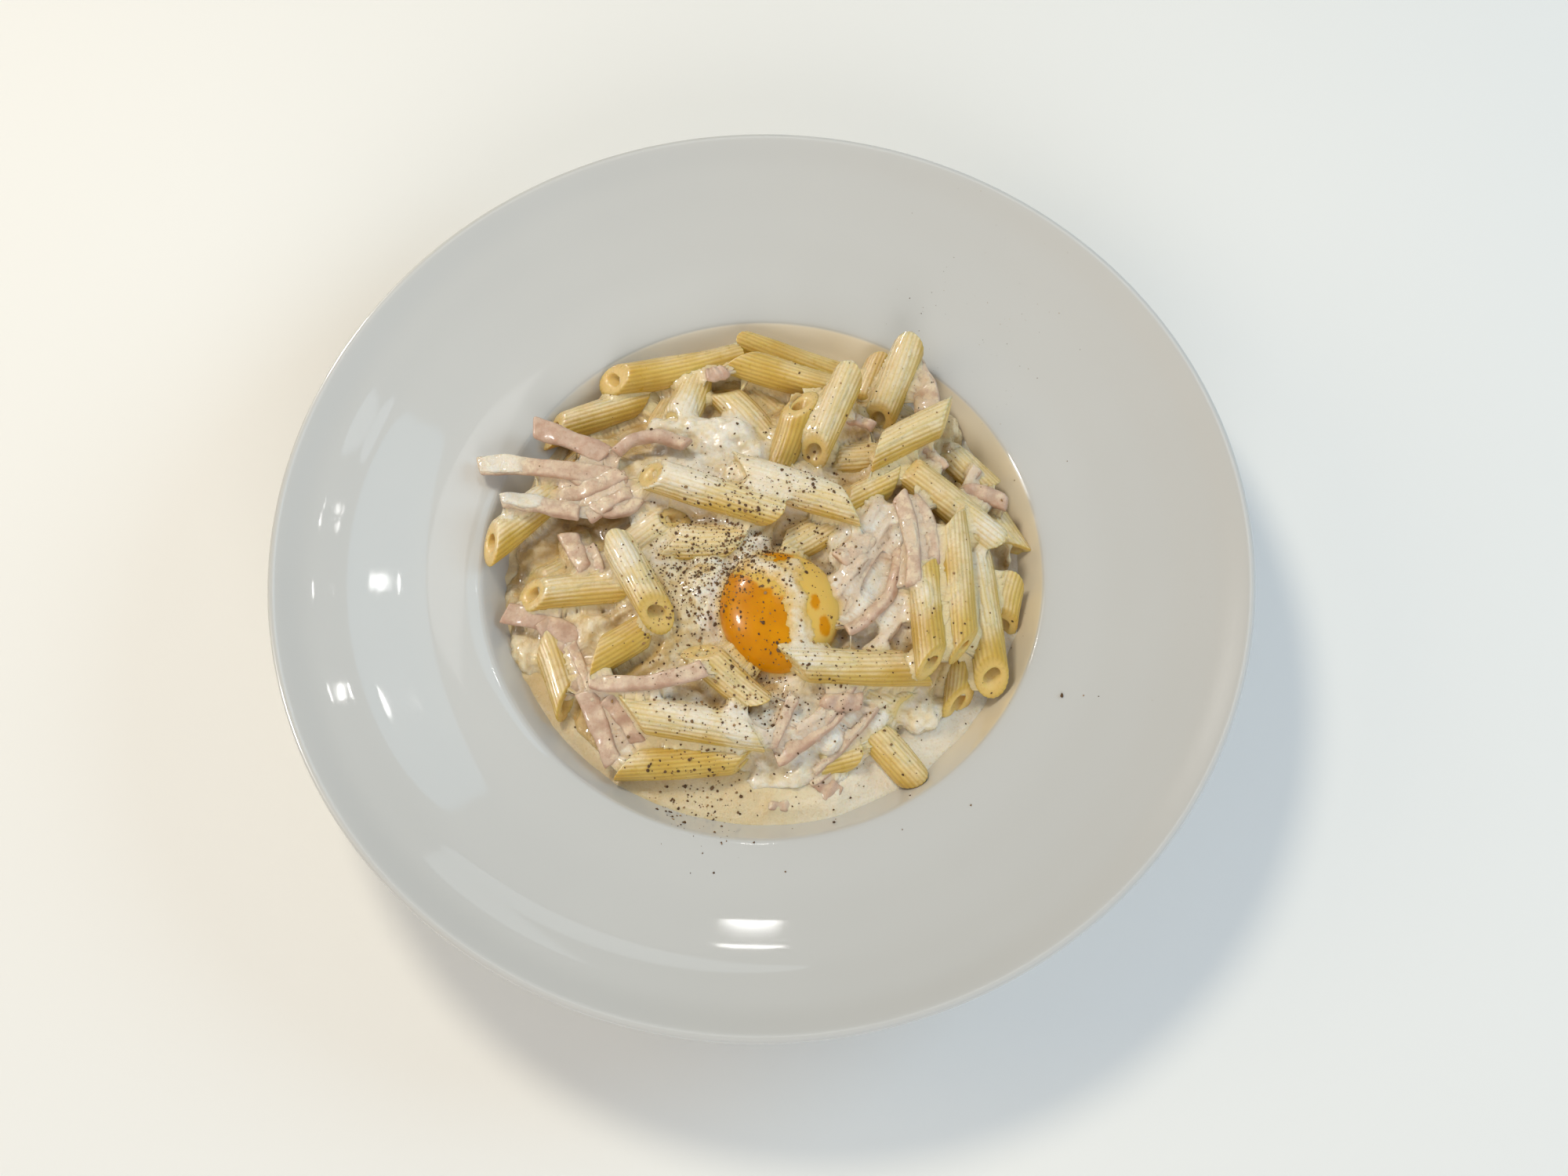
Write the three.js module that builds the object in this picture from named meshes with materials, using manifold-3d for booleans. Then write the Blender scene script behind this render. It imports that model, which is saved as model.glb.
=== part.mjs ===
// Penne carbonara in the wide-rimmed bowl that holds it.
// Millimetres, +Z up, the middle of the foot at the origin, the front of the dish towards -Y.
import * as THREE from "three";
import { mergeVertices } from "three/addons/utils/BufferGeometryUtils.js";
import Module from "manifold-3d";

const wasm = await Module();
wasm.setup();

// ---- driving dimensions -------------------------------------------------------------------------

const BOWL_HEIGHT = 50;
const RIM_RADIUS = 140;
const WELL_RADIUS = 82; // where the flat rim turns down into the well
const WELL_EDGE_HEIGHT = 32.4;
const FLOOR_HEIGHT = 7.5; // top of the floor of the well
const FOOT_RADIUS = 56;
const FOOT_WIDTH = 5;
const LATHE_SIDES = 54;

const SAUCE_LEVEL = 22;
const GAP = 0.3; // clear space between pieces that touch

const TUBE_RADIUS = 4.6; // cooked penne
const BORE_RADIUS = 2.5;
const TUBE_SIDES = 10;
const BORE_SIDES = 6;
const CUT_SLOPE = 1; // both ends are cut at 45 degrees, parallel to each other

const YOLK = { x: 5, y: -17, z: 38, halfWidth: 17, halfDepth: 18.5, crown: 10.5, belly: 5 };

// ---- the penne of the heap ----------------------------------------------------------------------
// Each row is the middle of a tube (x, y, z), its heading and its climb in degrees, the turn of its
// cut ends about its axis in degrees, and the length along its axis.

const BACK_PENNE = [
  [-28, 63, 36, 10, 2, 100, 36],
  [-51, 51, 29, 23, -2, 60, 29],
  [-28, 54, 28, -114, 4, 40, 22],
  [-23, 52, 36, -111, 3, -60, 20],
  [-6, 48, 35, -50, 0, 60, 22],
  [-1, 56, 30, -42, 0, 30, 20],
  [12, 66, 34, -22, 2, -90, 34],
  [8, 58, 41, -19, 0, 0, 31],
  [8, 38, 42, -114, -36, 60, 20],
  [20, 42, 46, -117, -20, -90, 24],
  [32, 58, 31, 69, 5, 90, 16],
  [39, 56, 39, 66, 15, 90, 24],
];
const RIGHT_PENNE = [
  [44, 37, 44, 28, 3, 0, 24],
  [27, 34, 34, 8, 0, 90, 18],
  [54, 18, 38, -41, -5, 90, 34],
  [60, 33, 30, -45, 0, 60, 16],
  [69, 16, 27, -58, -2, 180, 20],
  [47, -21, 43, -88, 5, 225, 28],
  [56, -10, 41, -87, -1, 225, 38],
  [64, -17, 33, -85, 1, -90, 37],
  [57, -31, 28, -94, -10, 225, 20],
  [71, -11, 27, 79, 15, 90, 12],
];
const MIDDLE_PENNE = [
  [10, 18, 46, -19, 0, 160, 33],
  [-15, 17, 46, -19, 0, 90, 37],
  [31, 21, 37, 31, 0, 30, 18],
  [15, 8, 37, 30, 0, 0, 22],
  [-18, 5, 38, -2, 4, 60, 20],
  [-32, 9, 36, -150, -15, 90, 16],
  [19, -13, 36, -27, 8, -60, 15],
  [-35, -10, 44, -61, 0, -90, 23],
];
const LEFT_PENNE = [
  [-68, 17, 35, 48, -8, 90, 34],
  [-59, -1, 28, 28, 5, 90, 18],
  [-54, -9, 35, 5, 2, 90, 26],
  [-46, -14, 26, 0, 0, 200, 22],
  [-39, -25, 36, 32, 0, 0, 20],
  [-59, -31, 27, -70, 0, 200, 20],
];
const FRONT_PENNE = [
  [-20, -49, 34, -9, 0, 180, 35],
  [-21, -58, 27, 3, 0, 0, 34],
  [-10, -36, 38, -42, -7, 60, 20],
  [26, -34, 40, 1, -8, 150, 36],
  [36, -54, 25, -49, -4, 90, 20],
  [19, -57, 24, 17, 6, 90, 12],
  [35, -40, 29, -20, -12, -60, 14],
];
const PENNE = [...BACK_PENNE, ...RIGHT_PENNE, ...MIDDLE_PENNE, ...LEFT_PENNE, ...FRONT_PENNE];

// ---- the ham ------------------------------------------------------------------------------------
// Each strip runs through its points; lean turns its flat side about its own line, in degrees.
// A strip further down the list gives way to those above it.

const HAM = [
  { width: 6.4, thick: 2.6, lean: 12, points: [[-68, 41, 41], [-56, 36, 42], [-46, 31, 42]] },
  { width: 4.0, thick: 3.2, lean: 0, points: [[-43, 31, 44], [-34, 36, 45], [-22, 33, 45]] },
  { width: 6.0, thick: 2.6, lean: 10, points: [[-84, 30, 37], [-68, 28, 41], [-44, 24, 42]] },
  { width: 5.0, thick: 2.6, lean: -15, points: [[-76, 16, 43], [-66, 15, 43], [-53, 12, 43]] },
  { width: 4.4, thick: 2.4, lean: 0, points: [[-17, 58, 42], [-14, 58, 43], [-11, 59, 43]] },
  { width: 5.6, thick: 2.6, lean: 0, points: [[-60, 19, 38], [-51, 21, 41], [-41, 25, 43]] },
  { width: 5.0, thick: 2.6, lean: -10, points: [[-51, 12, 40], [-44, 16, 42], [-38, 19, 42]] },
  { width: 6.4, thick: 2.4, lean: 10, points: [[-75, -14, 30], [-64, -17, 31], [-53, -23, 31]] },
  { width: 6.0, thick: 2.4, lean: 20, points: [[-50, -39, 32], [-46, -49, 31], [-42, -59, 28]] },
  { width: 5.0, thick: 2.6, lean: 0, points: [[-49, -37, 36], [-33, -39, 40], [-16, -36, 44]] },
  { width: 5.0, thick: 3.4, lean: 15, points: [[40, 17, 44], [43, 3, 45], [43, -12, 45]] },
  { width: 4.6, thick: 3.0, lean: 20, points: [[44, 17, 42], [48, 7, 44], [49, -5, 42]] },
  { width: 5.0, thick: 2.6, lean: 10, points: [[59, 22, 36], [65, 21, 37], [72, 18, 36]] },
  { width: 3.4, thick: 2.6, lean: 0, points: [[25, 44, 40], [29, 43, 41], [33, 41, 41]] },
  { width: 4.0, thick: 2.6, lean: 35, points: [[39, 2, 40], [36, -13, 41], [24, -24, 42]] },
  { width: 6.5, thick: 2.4, lean: 0, points: [[31, 6, 42], [27, 1, 43], [22, -3, 43]] },
  { width: 5.6, thick: 2.4, lean: 10, points: [[22, -45, 35], [13, -53, 33], [4, -58, 30]] },
  { width: 6.5, thick: 2.0, lean: 0, points: [[15, -60, 24], [18, -64, 24], [22, -68, 24]] },
  { width: 3.4, thick: 1.8, lean: 0, points: [[1, -70, 24], [5, -70, 24], [10, -70, 24]] },
  { width: 5.0, thick: 2.4, lean: 25, points: [[17, -43, 37], [22, -44, 38], [28, -43, 36]] },
  { width: 8.0, thick: 2.2, lean: 30, points: [[45, 63, 39], [48, 56, 40], [49, 47, 40]] },
  { width: 4.0, thick: 2.2, lean: 40, points: [[47, 37, 38], [50, 33, 38], [54, 29, 37]] },
  { width: 6.5, thick: 2.6, lean: 0, points: [[-57, 6, 36], [-53, 0, 38], [-49, -5, 40]] },
  { width: 5.0, thick: 2.4, lean: 20, points: [[-44, -41, 33], [-39, -47, 32], [-35, -53, 29]] },
];

// ---- geometry helpers ---------------------------------------------------------------------------

// A geometry as a manifold-3d solid, for joining and cutting.
function solid(geometry) {
  const bare = new THREE.BufferGeometry()
    .setAttribute("position", geometry.getAttribute("position"));
  if (geometry.index) bare.setIndex(geometry.index);
  const merged = mergeVertices(bare, 1e-4);
  return new wasm.Manifold(
    new wasm.Mesh({
      numProp: 3,
      vertProperties: new Float32Array(merged.attributes.position.array),
      triVerts: new Uint32Array(merged.index.array),
    }),
  );
}

function geometryOf(made) {
  const mesh = made.getMesh();
  const position = new Float32Array(mesh.numVert * 3);
  for (let i = 0; i < mesh.numVert; i++)
    position.set(mesh.vertProperties.subarray(i * mesh.numProp, i * mesh.numProp + 3), i * 3);
  const geometry = new THREE.BufferGeometry()
    .setAttribute("position", new THREE.BufferAttribute(position, 3))
    .setIndex(new THREE.BufferAttribute(new Uint32Array(mesh.triVerts), 1));
  geometry.computeVertexNormals();
  return geometry;
}

// The main body of a solid: hollows that joining has sealed are filled, loose scraps dropped.
function mainBody(made) {
  return made.decompose().reduce((a, b) => (b.volume() > a.volume() ? b : a));
}

const join = (solids) => wasm.Manifold.union(solids);

// A profile of [radius, height] pairs spun about the vertical axis.
function spun(profile) {
  const points = profile.map(([r, z]) => new THREE.Vector2(r, z));
  return new THREE.LatheGeometry(points, LATHE_SIDES).rotateX(Math.PI / 2);
}

function smoothProfile(points, steps) {
  const curve = new THREE.SplineCurve(points.map(([r, z]) => new THREE.Vector2(r, z)));
  return curve.getPoints(steps).map((p) => [Math.max(0, p.x), p.y]);
}

// ---- the bowl -----------------------------------------------------------------------------------

// The inside of the bowl, from its middle out over the edge of the well to the lip.
function bowlInside() {
  const well = smoothProfile(
    [[0, FLOOR_HEIGHT], [44, FLOOR_HEIGHT + 0.2], [60, 11], [69, 16], [75.2, 22.4], [79.4, 28.4],
      [WELL_RADIUS - 0.4, WELL_EDGE_HEIGHT - 0.9]],
    9,
  );
  well[0] = [0, FLOOR_HEIGHT];
  const rim = smoothProfile(
    [[WELL_RADIUS + 0.9, WELL_EDGE_HEIGHT], [100, 36], [118, 41], [131, 46], [136, 48.8]],
    6,
  );
  return [...well, ...rim];
}

function bowl() {
  const lip = [[138.2, BOWL_HEIGHT], [139.5, 49.7], [RIM_RADIUS, 48.6], [139.4, 47.2], [138, 46.3]];
  const outside = [[128, 41.2], [108, 34.6], [88, 28.4], [81.5, 22.6], [75, 14.4], [66, 7.4],
    [FOOT_RADIUS + 0.6, 4.4]];
  const foot = [[FOOT_RADIUS, 0.6], [FOOT_RADIUS - 0.6, 0], [FOOT_RADIUS - FOOT_WIDTH + 0.6, 0],
    [FOOT_RADIUS - FOOT_WIDTH, 0.6], [FOOT_RADIUS - FOOT_WIDTH - 0.8, 3.4], [0, 3.4]];
  return spun([...bowlInside(), ...lip, ...outside, ...foot].reverse());
}

// All the room above the bowl's inside, kept clear of the glaze.
function roomInBowl() {
  const raised = bowlInside().map(([r, z]) => [r, z + 2 * GAP]);
  const [edgeRadius] = raised.at(-1);
  return solid(spun([...raised, [edgeRadius, 2 * BOWL_HEIGHT], [0, 2 * BOWL_HEIGHT]]));
}

// ---- the penne ----------------------------------------------------------------------------------

function circle(radius, sides) {
  return Array.from({ length: sides }, (_, i) => {
    const a = (2 * Math.PI * i) / sides;
    return new THREE.Vector2(radius * Math.cos(a), radius * Math.sin(a));
  });
}

function tube([x, y, z, heading, climb, turn, length]) {
  const section = new THREE.Shape(circle(TUBE_RADIUS, TUBE_SIDES));
  section.holes.push(new THREE.Path(circle(BORE_RADIUS, BORE_SIDES)));
  const geometry = new THREE.ExtrudeGeometry(section, {
    depth: length, steps: 1, bevelEnabled: false,
  });
  geometry.translate(0, 0, -length / 2);
  // The axis runs along +X, and the slope of the cut ends is a shear along it.
  const along = new THREE.Matrix4().makeBasis(
    new THREE.Vector3(0, 1, 0), new THREE.Vector3(0, 0, 1), new THREE.Vector3(1, 0, 0));
  const across = THREE.MathUtils.degToRad(turn);
  const slope = new THREE.Matrix4().set(
    1, CUT_SLOPE * Math.cos(across), CUT_SLOPE * Math.sin(across), 0,
    0, 1, 0, 0,
    0, 0, 1, 0,
    0, 0, 0, 1);
  geometry.applyMatrix4(along).applyMatrix4(slope);
  geometry.rotateY(THREE.MathUtils.degToRad(-climb));
  geometry.rotateZ(THREE.MathUtils.degToRad(heading));
  return solid(geometry.translate(x, y, z));
}

// ---- the creamy mass that the penne lie in ------------------------------------------------------

const CORE_RADIUS = 73;
const CORE_SINK = 3; // how far the mass stays below the tubes' axes
const CORE_BIAS = 8; // mm of height over which an axis counts e times as much
const POOL = { heading: -72, spread: 38, depth: 17 }; // where the sauce is open, in degrees and mm
const CORE_SPOKES = 36;
const CORE_RINGS = 8;

// Points along every tube's axis, which the top of the mass follows.
const AXIS_POINTS = PENNE.flatMap(([x, y, z, heading, climb, , length]) => {
  const h = THREE.MathUtils.degToRad(heading);
  const c = THREE.MathUtils.degToRad(climb);
  const along = new THREE.Vector3(Math.cos(h) * Math.cos(c), Math.sin(h) * Math.cos(c), Math.sin(c));
  return [-0.4, 0, 0.4].map((t) => new THREE.Vector3(x, y, z).addScaledVector(along, t * length));
});

function coreEdge(angle) {
  const off = THREE.MathUtils.euclideanModulo(
    THREE.MathUtils.radToDeg(angle) - POOL.heading + 180, 360) - 180;
  return CORE_RADIUS - POOL.depth * Math.exp(-((off / POOL.spread) ** 2));
}

// Height of the mass over (x, y): near and high axes count most, and it falls away at its edge.
function coreHeight(x, y, share) {
  let sum = 0;
  let weights = 0;
  for (const p of AXIS_POINTS) {
    const weight = Math.exp(p.z / CORE_BIAS) / ((p.x - x) ** 2 + (p.y - y) ** 2 + 10) ** 2;
    sum += weight * p.z;
    weights += weight;
  }
  const top = sum / weights - CORE_SINK;
  return SAUCE_LEVEL + 2 + (top - SAUCE_LEVEL - 2) * Math.sqrt(1 - share ** 12);
}

function core() {
  const position = [];
  const index = [];
  const base = SAUCE_LEVEL - 4;
  for (let ring = 1; ring <= CORE_RINGS; ring++)
    for (let spoke = 0; spoke < CORE_SPOKES; spoke++) {
      const angle = (2 * Math.PI * spoke) / CORE_SPOKES;
      const share = ring / CORE_RINGS;
      const x = coreEdge(angle) * share * Math.cos(angle);
      const y = coreEdge(angle) * share * Math.sin(angle);
      position.push(x, y, coreHeight(x, y, share));
    }
  for (let spoke = 0; spoke < CORE_SPOKES; spoke++) {
    const angle = (2 * Math.PI * spoke) / CORE_SPOKES;
    position.push(coreEdge(angle) * Math.cos(angle), coreEdge(angle) * Math.sin(angle), base);
  }
  const crown = position.length / 3;
  position.push(0, 0, coreHeight(0, 0, 0), 0, 0, base);
  for (let spoke = 0; spoke < CORE_SPOKES; spoke++) {
    const next = (spoke + 1) % CORE_SPOKES;
    index.push(crown, spoke, next);
    for (let ring = 0; ring < CORE_RINGS; ring++) {
      const a = ring * CORE_SPOKES;
      const b = a + CORE_SPOKES;
      index.push(a + spoke, b + spoke, b + next, a + spoke, b + next, a + next);
    }
    const foot = CORE_RINGS * CORE_SPOKES;
    index.push(crown + 1, foot + next, foot + spoke);
  }
  const geometry = new THREE.BufferGeometry()
    .setAttribute("position", new THREE.Float32BufferAttribute(position, 3))
    .setIndex(index);
  return solid(geometry);
}

// ---- the egg yolk -------------------------------------------------------------------------------

// A dome with a shallower belly, grown by margin all round.
function yolk(margin = 0) {
  const geometry = new THREE.SphereGeometry(1, 20, 10).rotateX(Math.PI / 2);
  const position = geometry.getAttribute("position");
  for (let i = 0; i < position.count; i++) {
    const z = position.getZ(i);
    position.setXYZ(
      i,
      YOLK.x + position.getX(i) * (YOLK.halfWidth + margin),
      YOLK.y + position.getY(i) * (YOLK.halfDepth + margin),
      YOLK.z + z * ((z > 0 ? YOLK.crown : YOLK.belly) + margin),
    );
  }
  return solid(geometry);
}

// ---- the ham ------------------------------------------------------------------------------------

const STRIP_STEPS = 5;

// A flat strip swept along its points, grown by margin all round.
function strip({ width, thick, lean, points }, margin = 0) {
  const curve = new THREE.CatmullRomCurve3(points.map((p) => new THREE.Vector3(...p)));
  const corners = [[1, -1], [1, 1], [-1, 1], [-1, -1]];
  const position = [];
  const index = [];
  for (let step = 0; step <= STRIP_STEPS; step++) {
    const t = step / STRIP_STEPS;
    const along = curve.getTangent(t);
    const side = new THREE.Vector3(0, 0, 1).cross(along).normalize()
      .applyAxisAngle(along, THREE.MathUtils.degToRad(lean));
    const up = along.clone().cross(side);
    const reach = step === 0 ? -margin : step === STRIP_STEPS ? margin : 0;
    const middle = curve.getPoint(t).addScaledVector(along, reach);
    for (const [s, u] of corners)
      position.push(...middle.clone()
        .addScaledVector(side, s * (width / 2 + margin))
        .addScaledVector(up, u * (thick / 2 + margin)));
  }
  for (let step = 0; step < STRIP_STEPS; step++)
    for (let c = 0; c < 4; c++) {
      const a = step * 4 + c;
      const b = step * 4 + ((c + 1) % 4);
      index.push(a, b, b + 4, a, b + 4, a + 4);
    }
  const last = STRIP_STEPS * 4;
  index.push(0, 2, 1, 0, 3, 2, last, last + 1, last + 2, last, last + 2, last + 3);
  const geometry = new THREE.BufferGeometry()
    .setAttribute("position", new THREE.Float32BufferAttribute(position, 3))
    .setIndex(index);
  return solid(geometry);
}

// ---- putting the dish together ------------------------------------------------------------------

const room = roomInBowl();
const aboveSauce = room.trimByPlane([0, 0, 1], SAUCE_LEVEL + GAP);
const yolkRoom = yolk(GAP);
const stripRooms = HAM.map((piece) => strip(piece, GAP));

const strips = HAM.map((piece, i) =>
  mainBody(strip(piece).intersect(aboveSauce).subtract(join([yolkRoom, ...stripRooms.slice(0, i)]))),
);
const heap = mainBody(
  join([core(), ...PENNE.map(tube)])
    .intersect(aboveSauce)
    .subtract(join([yolkRoom, ...stripRooms])),
);
const sauce = room.trimByPlane([0, 0, -1], -SAUCE_LEVEL);

const look = {
  glaze: new THREE.MeshStandardMaterial({ color: 0xe9e8e4, roughness: 0.15 }),
  cream: new THREE.MeshStandardMaterial({ color: 0xdccfb0, roughness: 0.4 }),
  pasta: new THREE.MeshStandardMaterial({ color: 0xd9c27e, roughness: 0.5 }),
  yolk: new THREE.MeshStandardMaterial({ color: 0xd98a10, roughness: 0.3 }),
  ham: new THREE.MeshStandardMaterial({ color: 0xd9aea0, roughness: 0.5 }),
};

const dish = new THREE.Group();
dish.name = "penne_carbonara";

function place(name, geometry, material) {
  const mesh = new THREE.Mesh(geometry, material);
  mesh.name = name;
  dish.add(mesh);
}

place("bowl", bowl(), look.glaze);
place("cream_sauce", geometryOf(sauce), look.cream);
place("penne_heap", geometryOf(heap), look.pasta);
place("egg_yolk", geometryOf(yolk()), look.yolk);
strips.forEach((piece, i) =>
  place("ham_strip_" + String(i + 1).padStart(2, "0"), geometryOf(piece), look.ham),
);

export default dish;
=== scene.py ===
"""Penne carbonara in a wide-rimmed bowl: penne, ham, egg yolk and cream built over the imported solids."""

import math
import random
from collections import namedtuple
from types import SimpleNamespace

import bmesh
import bpy
import numpy as np
from bpy.props import FloatProperty, FloatVectorProperty, IntProperty, PointerProperty
from mathutils import Matrix, Vector, noise
from mathutils.bvhtree import BVHTree


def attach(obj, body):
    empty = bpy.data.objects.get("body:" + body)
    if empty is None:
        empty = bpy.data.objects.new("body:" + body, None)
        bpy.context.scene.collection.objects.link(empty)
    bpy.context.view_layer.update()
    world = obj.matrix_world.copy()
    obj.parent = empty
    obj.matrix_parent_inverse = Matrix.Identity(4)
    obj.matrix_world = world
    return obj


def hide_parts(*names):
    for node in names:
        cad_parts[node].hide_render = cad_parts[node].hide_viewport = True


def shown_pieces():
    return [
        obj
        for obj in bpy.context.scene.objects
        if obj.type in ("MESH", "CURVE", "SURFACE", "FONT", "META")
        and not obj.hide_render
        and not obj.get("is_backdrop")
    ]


bl_info = {
    "name": "Penne Carbonara",
    "version": (1, 0, 0),
    "blender": (4, 5, 0),
    "location": "3D View > Sidebar > Carbonara",
    "description": "Builds a bowl of penne carbonara with ham, egg yolk, cream and ground pepper",
    "category": "Object",
}

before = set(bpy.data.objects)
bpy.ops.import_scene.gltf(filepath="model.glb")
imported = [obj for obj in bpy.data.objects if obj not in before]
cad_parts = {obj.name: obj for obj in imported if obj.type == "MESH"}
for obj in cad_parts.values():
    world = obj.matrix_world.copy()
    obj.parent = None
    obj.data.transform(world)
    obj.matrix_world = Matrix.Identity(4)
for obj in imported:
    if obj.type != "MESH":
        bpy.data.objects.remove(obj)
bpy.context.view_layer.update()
MM = 0.001  # the tables below are in millimetres, the meshes in metres

# ---- the bowl, as radius and height along its section ----

BOWL_INSIDE = [
    (0, 7.5), (22, 7.5), (44, 7.7), (60, 11), (69, 16), (75.2, 22.4), (79.4, 28.4), (81.3, 31.2),
    (82.1, 32.1), (83.4, 32.7), (90, 34), (100, 36), (109, 38.4), (118, 41), (125, 43.6), (131, 46),
    (136, 48.8), (138.2, 49.9),
]
BOWL_OUTSIDE = [
    (139.5, 49.7), (139.95, 48.6), (139.4, 47.2), (138, 46.3), (128, 41.2), (108, 34.6), (88, 28.4),
    (81.5, 22.6), (75, 14.4), (66, 7.4), (58.5, 4.8), (56.6, 3.4), (56, 1.2), (55.4, 0.1),
    (53.4, 0.0), (51.6, 0.1), (51, 1.0), (50.2, 3.0), (48, 3.4), (24, 3.4), (0, 3.4),
]
WELL_EDGE = 82.2  # radius at which the wall of the well turns into the rim
SAUCE_LEVEL = 22.0
BARE_CLAY = (0.72, 0.66, 0.57)

# ---- the penne: middle x, y, z, heading, climb and turn of the cut in degrees, length, cream share --

Tube = namedtuple("Tube", "x y z heading climb turn length cream")
PENNE_TABLE = {
    "back": [
        (-28, 63, 36, 10, 2, 100, 36, 0.15), (-51, 51, 29, 23, -2, 60, 29, 0.35),
        (-28, 54, 28, -114, 4, 40, 22, 0.45), (-23, 52, 36, -111, 3, -60, 20, 0.60),
        (-6, 48, 35, -50, 0, 60, 22, 0.45), (-1, 56, 30, -42, 0, 30, 20, 0.45),
        (12, 66, 34, -22, 2, -90, 34, 0.15), (8, 58, 41, -19, 0, 0, 31, 0.20),
        (8, 38, 42, -114, -36, 130, 20, 0.20), (20, 42, 46, -117, -20, -90, 24, 0.70),
        (32, 58, 31, 69, 5, 90, 16, 0.30), (39, 56, 39, 66, 15, 90, 24, 0.55),
    ],
    "right": [
        (44, 37, 44, 28, 3, 0, 24, 0.75), (27, 34, 34, 8, 0, 90, 18, 0.70),
        (54, 18, 38, -41, -5, 90, 34, 0.48), (60, 33, 30, -45, 0, 60, 16, 0.45),
        (69, 16, 27, -58, -2, 0, 20, 0.50), (47, -21, 43, -88, 5, 200, 28, 0.40),
        (56, -10, 41, -87, -1, 190, 38, 0.40), (64, -17, 33, -85, 1, -90, 37, 0.45),
        (57, -31, 28, -94, -10, 225, 20, 0.30), (71, -11, 27, 79, 15, 90, 12, 0.40),
    ],
    "middle": [
        (10, 18, 46, -19, 0, 180, 33, 0.82), (-15, 17, 46, -19, 0, 90, 37, 0.45),
        (31, 21, 37, 31, 0, 30, 18, 0.40), (15, 8, 37, 30, 0, 0, 22, 0.65),
        (-18, 5, 38, -2, 4, 60, 20, 0.80), (-32, 9, 36, -150, -15, 90, 16, 0.80),
        (19, -13, 36, -27, 8, -60, 15, 0.25), (-35, -10, 44, -61, 0, -90, 23, 0.55),
    ],
    "left": [
        (-68, 17, 35, 48, -8, 40, 34, 0.30), (-59, -1, 28, 28, 5, 90, 18, 0.50),
        (-54, -9, 35, 5, 2, 90, 26, 0.40), (-46, -14, 26, 0, 0, 200, 22, 0.75),
        (-39, -25, 36, 32, 0, 0, 20, 0.15), (-59, -31, 27, -70, 0, 200, 20, 0.40),
    ],
    "front": [
        (-20, -49, 34, -9, 0, 180, 35, 0.62), (-21, -58, 27, 3, 0, 0, 34, 0.05),
        (-10, -36, 38, -42, -7, 60, 20, 0.50), (26, -34, 40, 1, -8, 185, 36, 0.45),
        (36, -54, 25, -49, -4, 90, 20, 0.35), (19, -57, 24, 17, 6, 90, 12, 0.55),
        (35, -40, 29, -20, -12, -60, 14, 1.00),
    ],
}
PENNE = {group: [Tube(*row) for row in rows] for group, rows in PENNE_TABLE.items()}
ALL_PENNE = [tube for tubes in PENNE.values() for tube in tubes]
TUBE_LENGTH = 36.0  # length of the pattern tube, whose middle is stretched for each tube
END_ZONE = 2.5  # stretch of each end that keeps its form
EDGE_ROUND = 0.9
CUT_SLOPE = 1.0
CREAMED_GIRTH = 0.15  # how much thicker a tube with a full cream share is
# The spans that each tube draws its own habit from
HABIT = {
    "bend": (-0.9, 0.9), "sway": (-0.5, 0.5), "twist": (-0.25, 0.25), "flat": (-0.06, 0.06),
    "phase": (0, 6), "pinch": (0.05, 0.35), "pinch_angle": (0, 3), "girth": (-0.1, 0.15),
    "narrow": (0.0, 0.7),
}

# ---- the ham: width, thickness, lean in degrees, cream share, three points it passes through ----

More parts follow.
